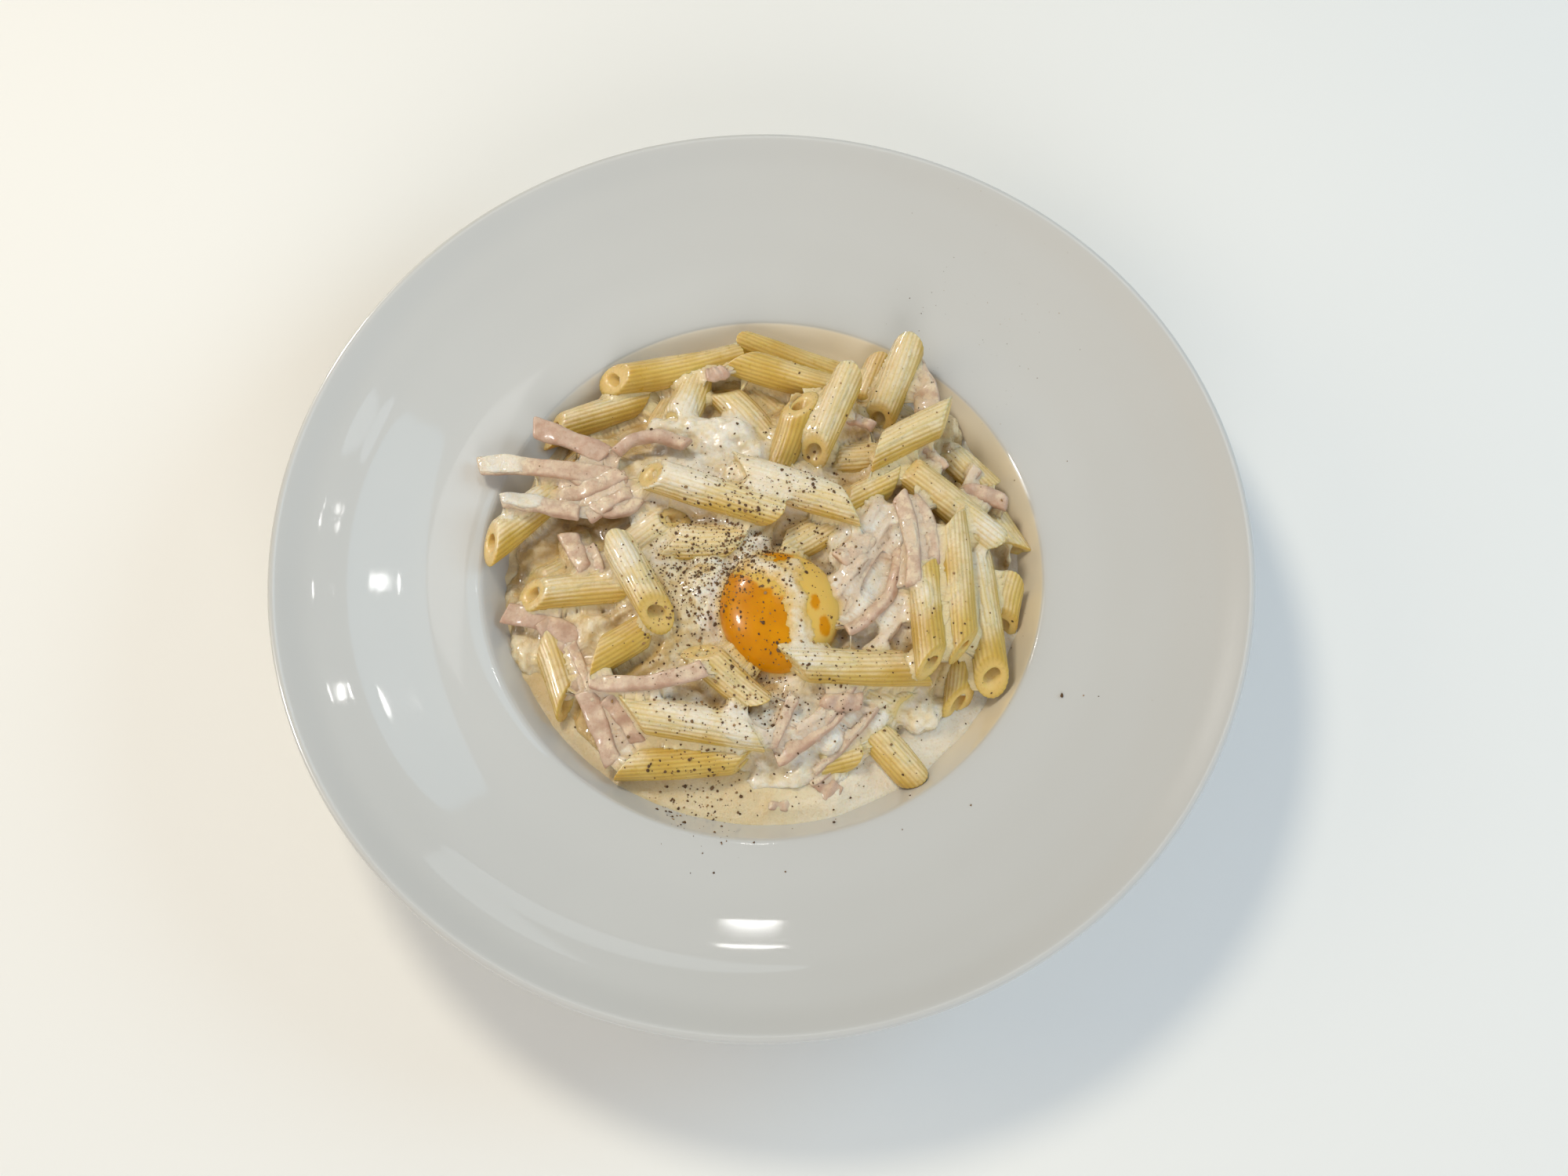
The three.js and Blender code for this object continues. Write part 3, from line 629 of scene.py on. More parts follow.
def smooth_line(points, steps):
    """A Catmull-Rom line through the points, with the given steps to each stretch."""
    whole = [points[0], *points, points[-1]]
    line = []
    for a, b, c, d in zip(whole, whole[1:], whole[2:], whole[3:]):
        for i in range(steps):
            t = i / steps
            line.append(tuple(
                0.5 * (2 * q + (r - p) * t + (2 * p - 5 * q + 4 * r - s) * t * t
                       + (3 * q - p - 3 * r + s) * t ** 3)
                for p, q, r, s in zip(a, b, c, d)))
    return [*line, points[-1]]


def spun(name, line, axis, steps, closed=False):
    """Spins a line of points, which may be closed, about an axis into a closed shell."""
    bm = bmesh.new()
    verts = [bm.verts.new(point) for point in line]
    edges = [bm.edges.new(pair) for pair in zip(verts, [*verts[1:], verts[0]] if closed else verts[1:])]
    bmesh.ops.spin(bm, geom=verts + edges, cent=(0, 0, 0), axis=axis, dvec=(0, 0, 0), angle=math.tau,
                   steps=steps, use_merge=True, use_duplicate=False)
    bmesh.ops.remove_doubles(bm, verts=bm.verts, dist=1e-3)
    bmesh.ops.recalc_face_normals(bm, faces=bm.faces)
    return mesh_from(bm, name)


def turned(name, section, steps):
    """Turns a section of radius and height about the upright axis."""
    return spun(name, [(max(r, 0.0), 0, z) for r, z in section], (0, 0, 1), steps)


def wall_radius(height):
    """Inside radius of the well at a height."""
    radii, heights = zip(*smooth_line(BOWL_INSIDE, 6))
    return float(np.interp(height, heights, radii))


def wall_floor(radius):
    """Height of the inside of the bowl at each radius."""
    radii, heights = zip(*smooth_line(BOWL_INSIDE, 6))
    return np.interp(radius, radii, heights)


def bowl_mesh():
    """The bowl, painted where the foot is unglazed, where sauce stains the right of the well's wall and
    painted light brightens it with a warm bounce from the food, and where painted light lifts the shaded wall
    at the back."""
    mesh = turned("serving_bowl", smooth_line(BOWL_INSIDE + BOWL_OUTSIDE, 3), 220)
    points = points_of(mesh)
    radius = np.hypot(points[:, 0], points[:, 1])
    paint(mesh, "bare_foot", (1 - soft_step(points[:, 2], 0.3, 0.7)) * (radius > 50))
    heading = np.degrees(np.arctan2(points[:, 1], points[:, 0]))
    inside = (radius < WELL_EDGE) * (points[:, 2] > wall_floor(radius) - 0.5)
    wall = inside * (1 - soft_step(radius, WELL_EDGE - 0.6, WELL_EDGE))
    at_right = soft_step(heading, -62, -30) * (1 - soft_step(heading, 45, 85))
    at_back = soft_step(heading, 40, 75) * (1 - soft_step(heading, 110, 150))
    # sauce on the right of the well's wall, with painted warm bounce light
    paint(mesh, "sauce_stain_and_painted_light", 0.8 * wall * at_right)
    # painted light on the shaded wall at the back
    paint(mesh, "painted_back_wall_light", wall * at_back)
    return mesh


# ---- the penne ----

def tube_pattern(sizes, around, along):
    """A straight round-ended tube along X, spun from the closed section of its wall."""
    outer, bore, e = sizes.penne_radius / MM, sizes.bore_radius / MM, EDGE_ROUND
    half = TUBE_LENGTH / 2
    quarter = [math.radians(a) for a in (22.5, 45, 67.5)]
    skin = [(s, outer) for s in np.linspace(e - half, half - e, along)]
    lip = [(half - e + e * math.sin(a), outer - e + e * math.cos(a)) for a in quarter]
    rim = [(half, outer - e), (half, (outer + bore) / 2), (half, bore + e)]
    throat = [(half - e + e * math.cos(a), bore + e - e * math.sin(a)) for a in quarter]
    lining = [(s, bore) for s in np.linspace(half - e, e - half, max(4, along // 2))]
    near = [*lip, *rim, *throat]
    far = [(-s, r) for s, r in reversed(near)]
    wall = [(s, r, 0) for s, r in [*skin, *near, *lining, *far]]
    return spun("tube_pattern", wall, (1, 0, 0), around, closed=True)


def tube_axes(tube):
    """Directions along a tube, to its left and up."""
    heading, climb = math.radians(tube.heading), math.radians(tube.climb)
    along = np.array([math.cos(heading) * math.cos(climb), math.sin(heading) * math.cos(climb),
                      math.sin(climb)])
    left = np.array([-math.sin(heading), math.cos(heading), 0.0])
    return along, left, np.cross(along, left)


def habit_of(tube):
    """A tube's own bend, sway, twist and the like, the same on each call."""
    own = random.Random(str(tuple(tube)))
    return SimpleNamespace(**{trait: own.uniform(*span) for trait, span in HABIT.items()})


def ridge_phase(points, tube, count):
    """Where points near a tube lie round its ridges, as the angle of the wave that makes them."""
    habit = habit_of(tube)
    along, left, up = tube_axes(tube)
    away, turn = points - np.array(tube[:3]), math.radians(tube.turn)
    wide, high = away @ left, away @ up
    s = away @ along - CUT_SLOPE * (wide * math.cos(turn) + high * math.sin(turn))
    arc = 1 - (2 * s / tube.length) ** 2
    angle = np.arctan2((high - habit.bend * arc * 0.5) / (1 - habit.flat),
                       (wide - habit.sway * arc) / (1 + habit.flat))
    angle = np.where(angle < -np.pi / 2, angle + 2 * np.pi, angle)
    return count * (angle + habit.twist * 2 * s / TUBE_LENGTH) + habit.phase


def lay_tube(pattern, tube, sizes, swell=0.0, swell_bore=0.0, ridged=False):
    """The pattern's points where a tube lies, with its own bend, twist and flattening. Also gives how deep
    in a groove each point lies, and whether it is on the outside, from 0 to 1."""
    habit = habit_of(tube)
    points = points_of(pattern)
    half, whole = tube.length / 2, TUBE_LENGTH / 2
    s = points[:, 0]
    rho, angle = np.hypot(points[:, 1], points[:, 2]), np.arctan2(points[:, 2], points[:, 1])
    to_end = whole - np.abs(s)
    at_end = to_end < END_ZONE
    s = np.where(at_end, np.sign(s) * (half - to_end), s * (half - END_ZONE) / (whole - END_ZONE))
    s = s + np.sign(s) * swell_bore * at_end
    outer, bore = sizes.penne_radius / MM, sizes.bore_radius / MM
    in_wall = (outer + bore) / 2
    skin = soft_step(rho, in_wall, outer - 0.1)
    thicker = swell + habit.girth + CREAMED_GIRTH * tube.cream
    rho = rho + np.where(rho > in_wall, thicker, -swell_bore - habit.narrow)
    groove = np.zeros(len(s))
    if ridged:
        wave = 0.5 + 0.5 * np.cos(sizes.ridge_count * (angle + habit.twist * s / whole) + habit.phase)
        groove = skin * (1 - wave) ** 1.8
        rho = rho + skin * (0.06 - groove * sizes.ridge_depth / MM)
        rho = rho + skin * 0.12 * np.cos(2 * angle + s / 5)
        rho = rho + skin * 0.08 * np.sin(3 * angle - s / 4 + habit.phase)
    squeeze = 1 - (1 - skin) * habit.pinch * np.cos(angle - habit.pinch_angle) ** 2
    wide = rho * squeeze * np.cos(angle) * (1 + habit.flat)
    high = rho * squeeze * np.sin(angle) * (1 - habit.flat)
    turn = math.radians(tube.turn)
    across = wide * math.cos(turn) + high * math.sin(turn)
    arc = 1 - (s / half) ** 2
    along, left, up = tube_axes(tube)
    placed = (np.array(tube[:3]) + np.outer(s + CUT_SLOPE * across, along)
              + np.outer(wide + habit.sway * arc, left) + np.outer(high + habit.bend * arc * 0.5, up))
    return placed, groove, skin


def tubes_mesh(name, pattern, tubes, sizes, **how):
    """Tubes joined into one mesh, with their grooves and outsides."""
    mesh = mesh_from(gathered([pattern] * len(tubes)), name)
    placed, groove, skin = (np.concatenate(parts) for parts in
                            zip(*[lay_tube(pattern, tube, sizes, **how) for tube in tubes]))
    move_points(mesh, placed)
    return mesh, groove, skin


def splashed(points):
    """How much the splashes add to the cream share at points."""
    return sum(more * np.exp(-((points[:, 0] - x) ** 2 + (points[:, 1] - y) ** 2) / reach ** 2)
               for x, y, reach, more in SPLASHES)


def film_height(points, normals, share):
    """How far the cream stands above a piece's own surface, in millimetres, higher on the side the window
    lamp lights, so the whitening drawn from it is partly painted light.
    """
    patches = 0.3 * cloud(points, 10, 2) + 0.06 * cloud(points, 3, 2, 7.0)
    height = (FILM_BARE + FILM_SHARE * (share + splashed(points)) + patches
              + FILM_CREAMED_AND_LIT_SIDE * (normals @ CREAMED_AND_LIT_SIDE))
    return np.clip(height, FILM_LEAST, FILM_MOST)


def veil_over(mesh, share):
    """How much thin cream whitens each point of a piece with a cream share, more on the side the window lamp
    lights, which is painted light.
    """
    return soft_step(film_height(points_of(mesh), normals_of(mesh), share), *VEIL_SPAN)


# ---- the ham ----

def strip_frame(strip, t, lean):
    """Points, directions, sides and flat normals of a strip at each t from 0 to 1."""
    a, b, c = (np.array(p, float) for p in strip[4:])
    mid = 2 * b - (a + c) / 2
    t = t[:, None]
    point = (1 - t) ** 2 * a + 2 * t * (1 - t) * mid + t * t * c
    along = (1 - t) * (mid - a) + t * (c - mid)
    along /= np.linalg.norm(along, axis=1)[:, None]
    side = np.cross((0, 0, 1), along)
    side /= np.linalg.norm(side, axis=1)[:, None]
    lean = np.radians(lean)[:, None]
    side = side * np.cos(lean) + np.cross(along, side) * np.sin(lean)
    return point, along, side, np.cross(along, side)


def strip_mesh(name, strip, around=28, steps=40, swell=0.0):
    """A flat strip: a grid rolled up, with rounded edges and its ends cut a little askew and closed."""
    own = random.Random(name)
    phase, skew_a, skew_b = own.uniform(0, 6), own.uniform(-0.45, 0.45), own.uniform(-0.45, 0.45)
    bm = bmesh.new()
    bmesh.ops.create_grid(bm, x_segments=around, y_segments=steps, size=0.5)
    mesh = mesh_from(bm, name)
    grid = points_of(mesh)
    angle, spot = math.tau * (grid[:, 0] + 0.5), (grid[:, 1] + 0.5) * steps
    length = sum(math.dist(p, q) for p, q in zip(strip[4:], strip[5:]))
    edge = [0.0, 0.18, 0.45, 0.9]  # steps in from an end, where the strip is rounded
    full = [0.55, 0.82, 0.96, 1.0]  # how full it is at each of them
    middle = np.linspace(edge[-1], length - edge[-1], steps - 5)[1:-1]
    stops = [*edge, *middle, *[length - e for e in edge[::-1]]]
    fill = [*full, *np.ones(len(middle)), *full[::-1]]
    rows = np.linspace(0, steps, len(stops))
    t, fill = np.interp(spot, rows, stops) / length, np.interp(spot, rows, fill)
    width = strip.width / 2 * (1 + 0.1 * np.sin(4.3 * t + phase) + 0.05 * np.sin(11 * t + 2 * phase))
    thick = strip.thick / 2 * (1 + 0.15 * np.sin(6.1 * t + 1.7 * phase))
    lean = strip.lean + own.uniform(-12, 12) * (t - 0.5) * 2
    point, along, side, up = strip_frame(strip, t, lean)
    cos, sin = np.cos(angle), np.sin(angle)
    reach = np.sign(cos) * np.abs(cos) ** 0.7 * (width - (1 - fill) * 0.6) + np.sign(cos) * swell
    lift = np.sign(sin) * np.abs(sin) ** 0.75 * (thick * fill * 1.15 + swell)
    lift += 0.3 * np.sin(5 * t * math.pi + phase) + 0.25 * (reach / width) ** 2 * math.sin(phase)
    slide = (skew_a * (1 - t) + skew_b * t) * reach + np.interp(t, (0, 0.02, 0.98, 1), (-swell, 0, 0, swell))
    move_points(mesh, point + along * slide[:, None] + side * reach[:, None] + up * lift[:, None])
    bm = bmesh.new()
    bm.from_mesh(mesh)
    bmesh.ops.remove_doubles(bm, verts=bm.verts, dist=1e-4)
    bmesh.ops.holes_fill(bm, edges=[e for e in bm.edges if e.is_boundary], sides=0)
    bmesh.ops.recalc_face_normals(bm, faces=bm.faces)
    bm.to_mesh(mesh)
    bm.free()
    return mesh


# ---- the yolk ----

def yolk_mesh(name, divisions, swell=0.0):
    """The yolk as a sagging drop, flatter below than above."""
    bm = bmesh.new()
    bmesh.ops.create_icosphere(bm, subdivisions=divisions, radius=1.0)
    mesh = mesh_from(bm, name)
    unit = points_of(mesh)
    reach = np.hypot(unit[:, 0], unit[:, 1])
    height = np.where(unit[:, 2] > 0, YOLK_CROWN + swell, YOLK_BELLY + swell)
    heading = np.arctan2(unit[:, 1], unit[:, 0])
    wavy = 1 + 0.02 * np.cos(2 * heading + 0.6) + 0.015 * np.cos(3 * heading - 1.0)
    sag = np.sign(unit[:, 2]) * np.abs(unit[:, 2]) ** (1 - 0.12 * reach)
    move_points(mesh, np.stack([
        YOLK_CENTRE[0] + unit[:, 0] * (YOLK_REACH[0] + swell) * wavy,
        YOLK_CENTRE[1] + unit[:, 1] * (YOLK_REACH[1] + swell) * wavy,
        YOLK_CENTRE[2] + sag * height], 1))
    return mesh


def on_yolk_plan(points):
    """Points seen from above, in reaches of the yolk from its middle."""
    return ((points[:, 0] - YOLK_CENTRE[0]) / YOLK_REACH[0], (points[:, 1] - YOLK_CENTRE[1]) / YOLK_REACH[1])


def yolk_skin(points):
    """Where the thin cream dulls the yolk, from 0 for bare to 1. A lobe at the front and left and the spots
    stay bare."""
    u, v = on_yolk_plan(points)
    ragged = 0.12 * cloud(points, 4.5, 3, 3.0) + 0.05 * cloud(points, 1.5, 2, 8.0)
    covered = np.maximum(v + 0.62 * u - 0.08, u - 0.38) + ragged
    for x, y, wide, deep in YOLK_SPOTS:
        bare = 1 - np.hypot((u - x) / wide, (v - y) / deep)
        covered = np.minimum(covered, 0.25 * (-bare) + ragged * 0.5)
    return soft_step(covered, -0.03, 0.05)


def yolk_cream(points):
    """Height of the band of cream that lies across the yolk, with a peak at the back."""
    u, v = on_yolk_plan(points)
    line = np.array(YOLK_BAND)
    away = np.full(len(points), 9.0)
    for (x0, y0), (x1, y1) in zip(line, line[1:]):
        t = np.clip(((u - x0) * (x1 - x0) + (v - y0) * (y1 - y0)) / ((x1 - x0) ** 2 + (y1 - y0) ** 2), 0, 1)
        away = np.minimum(away, np.hypot(u - x0 - t * (x1 - x0), v - y0 - t * (y1 - y0)))
    peak = 1.6 * np.exp(-((u - 0.3) ** 2 + (v - 0.72) ** 2) / 0.03)
    ragged = 0.5 * cloud(points, 3.5, 3, 6.0) + 0.25 * cloud(points, 1.4, 2, 2.0)
    return np.clip(-0.9 + 1.75 * np.exp(-((away / YOLK_BAND_WIDTH) ** 2)) + peak + ragged, FILM_LEAST, 1.5)


# ---- the cream ----

def applied(piece):
    """A piece's mesh after its modifiers. The piece itself goes."""
    graph = bpy.context.evaluated_depsgraph_get()
    made = bpy.data.meshes.new_from_object(piece.evaluated_get(graph))
    bpy.data.objects.remove(piece)
    return made


def fused(mesh, voxel):
    """One closed skin round overlapping closed pieces."""
    piece = bpy.data.objects.new("fuse", mesh)
    bpy.context.scene.collection.objects.link(piece)
    remesh = piece.modifiers.new("skin", "REMESH")
    remesh.mode = "VOXEL"
    remesh.voxel_size = voxel
    return applied(piece)


def gap_to(tree, points):
    """Each point's distance from a closed surface, negative inside, the nearest face and the nearest spot."""
    gaps, faces, spots = np.empty(len(points)), np.empty(len(points), int), np.empty((len(points), 3))
    for i, p in enumerate(points):
        spot, normal, faces[i], distance = tree.find_nearest(Vector(p))
        gaps[i] = distance if (Vector(p) - spot).dot(normal) > 0 else -distance
        spots[i] = spot
    return gaps, faces, spots


def heap_core(bm):
    """Adds the heap's own solid, merged from loose triangles, with its base sunk into the sauce."""
    before = len(bm.verts)
    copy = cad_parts["penne_heap"].data.copy()
    copy.transform(Matrix.Scale(1 / MM, 4))
    bm.from_mesh(copy)
    bpy.data.meshes.remove(copy)
    bm.verts.ensure_lookup_table()
    own = [bm.verts[i] for i in range(before, len(bm.verts))]
    bmesh.ops.remove_doubles(bm, verts=own, dist=1e-3)
    for vert in bm.verts:
        if vert.co.z < SAUCE_LEVEL + 0.6:
            vert.co.z = SAUCE_LEVEL - CORE_SUNK


def local_top(points, cell=3.0, reach=3):
    """Height of the surroundings over each point: the mean over a few cells of each cell's highest point."""
    low = points[:, :2].min(0) - cell * (reach + 1)
    spots = ((points[:, :2] - low) / cell).astype(int)
    size = spots.max(0) + reach + 2
    highest = np.full(size, SAUCE_LEVEL)
    np.maximum.at(highest, (spots[:, 0], spots[:, 1]), points[:, 2])
    mean = np.zeros_like(highest)
    steps = range(-reach, reach + 1)
    for i in steps:
        for j in steps:
            mean += np.roll(highest, (i, j), (0, 1))
    return (mean / len(steps) ** 2)[spots[:, 0], spots[:, 1]]


def edge_ends(mesh):
    """The first points and the second points of a mesh's edges."""
    ends = np.empty(len(mesh.edges) * 2, np.int32)
    mesh.edges.foreach_get("vertices", ends)
    return ends[::2], ends[1::2]


def relaxed(mesh, points, share, rounds):
    """Points drawn towards the middle of their neighbours, each by its own share."""
    first, second = edge_ends(mesh)
    near, far = np.r_[first, second], np.r_[second, first]
    count = np.bincount(near, minlength=len(points))[:, None]
    for _ in range(rounds):
        total = np.stack([np.bincount(near, points[far, axis], len(points)) for axis in range(3)], 1)
        points = points + 0.6 * share[:, None] * (total / count - points)
    return points


def thinned(mesh, hidden, ratio):
    """The mesh with fewer faces, nearly all of them taken where hidden is true."""
    piece = bpy.data.objects.new("thin", mesh)
    bpy.context.scene.collection.objects.link(piece)
    group = piece.vertex_groups.new(name="hidden")
    group.add(np.nonzero(hidden)[0].tolist(), 1.0, "REPLACE")
    group.add(np.nonzero(~hidden)[0].tolist(), 0.02, "REPLACE")
    modifier = piece.modifiers.new("thin", "DECIMATE")
    modifier.ratio, modifier.vertex_group, modifier.vertex_group_factor = ratio, "hidden", 100.0
    return applied(piece)


def under_pieces(sizes):
    """Every piece that cream can lie on, at its true size: kind, cream share, mesh, and whether each of its
    faces is on the outside."""
    pattern = tube_pattern(sizes, around=28, along=8)
    for tube in ALL_PENNE:
        mesh, _, skin = tubes_mesh("under", pattern, [tube], sizes)
        yield "pasta", tube.cream, mesh, [skin[face.vertices[0]] > 0.5 for face in mesh.polygons]
    for name, strip in ALL_STRIPS.items():
        mesh = strip_mesh(name, strip, around=16, steps=16)
        yield "ham", strip.cream, mesh, [True] * len(mesh.polygons)
    mesh = yolk_mesh("under", divisions=4)
    yield "yolk", 0.5, mesh, [True] * len(mesh.polygons)


def under_table(sizes):
    """The pieces under the cream as one tree, with the piece's number and outside of each face, and the
    kind and cream share of each piece."""
    kinds, shares, meshes, outside = zip(*under_pieces(sizes))
    numbers = np.repeat(np.arange(len(meshes)), [len(flags) for flags in outside])
    return SimpleNamespace(tree=tree_of(*meshes), numbers=numbers, outside=np.concatenate(outside),
                           kinds=np.array(kinds), shares=np.array(shares))


def swollen_heap(sizes):
    """The heap's core, the dollops and every piece swollen a little, fused into one skin, cut level under
    the sauce and smoothed."""
    bm = bmesh.new()
    heap_core(bm)
    pattern = tube_pattern(sizes, around=20, along=5)
    bm.from_mesh(tubes_mesh("swollen", pattern, ALL_PENNE, sizes, swell=SWELL, swell_bore=SWELL_BORE)[0])
    for name, strip in ALL_STRIPS.items():
        bm.from_mesh(strip_mesh(name, strip, around=16, steps=16, swell=SWELL))
    bm.from_mesh(yolk_mesh("swollen", divisions=4, swell=SWELL))
    for x, y, z, *reach, _ in DOLLOPS:
        place = Matrix.Translation((x, y, z)) @ Matrix.Diagonal((*reach, 1.0))
        bmesh.ops.create_icosphere(bm, subdivisions=3, radius=1.0, matrix=place)
    made = fused(mesh_from(bm, "swollen"), sizes.cream_voxel / MM)
    bm = bmesh.new()
    bm.from_mesh(made)
    bmesh.ops.bisect_plane(bm, geom=[*bm.verts, *bm.edges, *bm.faces],
                           plane_co=(0, 0, SAUCE_LEVEL - CUT_UNDER), plane_no=(0, 0, 1), clear_inner=True)
    bmesh.ops.holes_fill(bm, edges=[e for e in bm.edges if e.is_boundary], sides=0)
    for _ in range(5):
        bmesh.ops.smooth_vert(bm, verts=bm.verts, factor=0.5, use_axis_x=True, use_axis_y=True,
                              use_axis_z=True)
    return mesh_from(bm, "cream")


def lie_of(cream, under):
    """How the swollen cream lies at each of its points: the gap to the nearest piece, the nearest spot, the
    piece's number, kind and cream share, how far the point is on it, and the height the film should have."""
    points, normals = points_of(cream), normals_of(cream)
    gaps, faces, spots = gap_to(under.tree, points)
    number, outside = under.numbers[faces], under.outside[faces]
    kind, share = under.kinds[number], under.shares[number]
    on_piece = 1 - soft_step(gaps, SWELL + 0.5, SWELL + 3.0)
    film = film_height(points, normals, share) - HAM_BARER * (kind == "ham")
    film = np.where(~outside & (share < NEARLY_COVERED), np.minimum(film, END_FILM_MOST), film)
    film = np.where(kind == "yolk", yolk_cream(points), film)
    return SimpleNamespace(points=points, normals=normals, gaps=gaps, spots=spots, number=number, kind=kind,
                           share=share, outside=outside, on_piece=on_piece, film=film)


def whiteness(lie):
    """How white the cream is at each point, after the dollops round it and how thick its film is. Low
    whiteness also paints shade where the heap lies in shadow.
    """
    near, white = np.zeros(len(lie.points)), np.zeros(len(lie.points))
    for x, y, z, *reach, dollop_white in DOLLOPS:
        away = (lie.points - (x, y, z)) / (np.array(reach) * DOLLOP_SPREAD)
        weight = np.exp(-(away ** 2).sum(1))
        near += weight
        white += weight * dollop_white
    white = white / np.maximum(near, 1e-6) * soft_step(near, 0.05, 0.5)
    film_white = np.maximum(2.2 * splashed(lie.points), 1.8 * (lie.share - 0.3) * lie.on_piece)
    white = np.maximum(white, np.clip(film_white, 0, 0.9))
    return np.where(lie.kind == "yolk", YOLK_CREAM_WHITE, white)


def drawn_in(cream, under, lie, white, lumpy):
    """The cream's points, curdled in the open and drawn in to the film's height on the pieces, and just
    under their surface where they show. Also gives the gaps that are left."""
    points, on_piece = lie.points, lie.on_piece
    curdled = 0.5 * lumpy + (0.9 + 0.6 * white) * (curds(points, 3.6) - 0.6)
    curdled += (0.35 + 0.35 * white) * (curds(points, 1.7, 4.0) - 0.6)
    off_piece = (points - lie.spots) / np.maximum(np.abs(lie.gaps), 1e-6)[:, None]
    off_piece *= np.sign(lie.gaps)[:, None]
    crease = soft_step(lie.gaps, SWELL, SWELL + 0.8)[:, None]
    back = off_piece * (1 - crease) + lie.normals * crease
    draw = on_piece * (lie.film - np.clip(lie.gaps, 0, SWELL))
    soft = relaxed(cream, points, 1 - on_piece, 14)
    points = soft + back * draw[:, None] + lie.normals * ((1 - on_piece) * curdled)[:, None]
    points = relaxed(cream, points, 0.9 * soft_step(lie.gaps, SWELL + 0.1, SWELL + 0.9) * on_piece, 4)
    gaps, _, spots = gap_to(under.tree, points)
    showing = (lie.film < -0.1) & (on_piece > 0.9) & (gaps > -FILM_SUNK)
    inward = (spots - points) / np.where(np.abs(gaps) < 1e-6, 1.0, gaps)[:, None]
    points[showing] = (spots + FILM_SUNK * inward)[showing]
    gaps[showing] = -FILM_SUNK
    return points, gaps


def paint_ridges(cream, lie, points, gaps, sizes):
    """Paints the wave of the ridges under thin film, leaving out the edges where it starts again."""
    phase = np.zeros(len(points))
    for number, tube in enumerate(ALL_PENNE):
        mine = lie.number == number
        phase[mine] = ridge_phase(points[mine], tube, sizes.ridge_count)
    ribbed = lie.on_piece * lie.outside * (lie.kind == "pasta") * (1 - soft_step(gaps, 0.3, 1.4))
    near, far = edge_ends(cream)
    seam = np.abs(phase[near] - phase[far]) > 5
    ribbed[near[seam]] = ribbed[far[seam]] = 0
    paint(cream, "ridge_phase", phase)
    paint(cream, "ribbed", ribbed)


def paint_cream(cream, lie, points, gaps, white, lumpy, colours):
    """Paints the colour under the film, how thick and how foamy it is, painted shade in the hollows, and the
    thin bluish cream with its painted cool light.
    """
    tints = {"pasta": between(colours.pasta_pale, colours.veil, 0.56),
             "ham": between(colours.ham_pale, colours.veil, 0.35), "yolk": colours.yolk_skin}
    paint_colour(cream, "under", np.array([list(tints[kind]) for kind in lie.kind]))
    milky = np.clip(2.0 * splashed(points), 0, 0.8) * soft_step(gaps, 0.0, 0.35)
    paint(cream, "thick", np.maximum(soft_step(gaps, 0.05, 1.4), milky))
    paint(cream, "foam", np.clip(white + 0.4 * lumpy + 0.35 * cloud(points, 1.9, 2, 5.0), 0, 1))
    # Painted shade: cream darkened and browned deep between the pieces and in creases, where shade and light
    # bounced through the pasta fall
    deep = soft_step(local_top(points) - points[:, 2], 2.5, 9.0)
    crease = soft_step(local_top(points, 1.2, 2) - points[:, 2], 0.7, 3.0)
    paint(cream, "hollow", 0.9 * np.maximum(deep, crease) * (1 - 0.65 * np.clip(white, 0, 1)))
    # thin watery cream tinted bluish, as painted cool light
    watery = sum(np.exp(-((points[:, 0] - x) / across) ** 2 - ((points[:, 1] - y) / along) ** 2)
                 for x, y, across, along in WHEY_COOL_LIGHT)
    streaks = np.clip(0.5 + 0.6 * cloud(points, 3.0, 2, 8.0), 0.1, 0.85)
    paint(cream, "whey", np.clip(watery, 0, 1) * streaks)


def cream_mesh(sizes, colours):
    """The cream: the swollen heap drawn back in, so that it fills the creases and lies on the pieces as a
    film of uneven thickness."""
    cream, under = swollen_heap(sizes), under_table(sizes)
    lie = lie_of(cream, under)
    inside = (lie.on_piece > 0.95) & (lie.film < -0.4)
    below = (lie.normals[:, 2] < -0.35) | (lie.points[:, 2] < SAUCE_LEVEL - 0.8)
    cream = thinned(cream, inside | below, CREAM_KEPT)
    lie = lie_of(cream, under)
    white, lumpy = whiteness(lie), cloud(lie.points, 5, 2, 11.0)
    points, gaps = drawn_in(cream, under, lie, white, lumpy)
    move_points(cream, points)
    paint_ridges(cream, lie, points, gaps, sizes)
    paint_cream(cream, lie, points, gaps, white, lumpy, colours)
    return cream


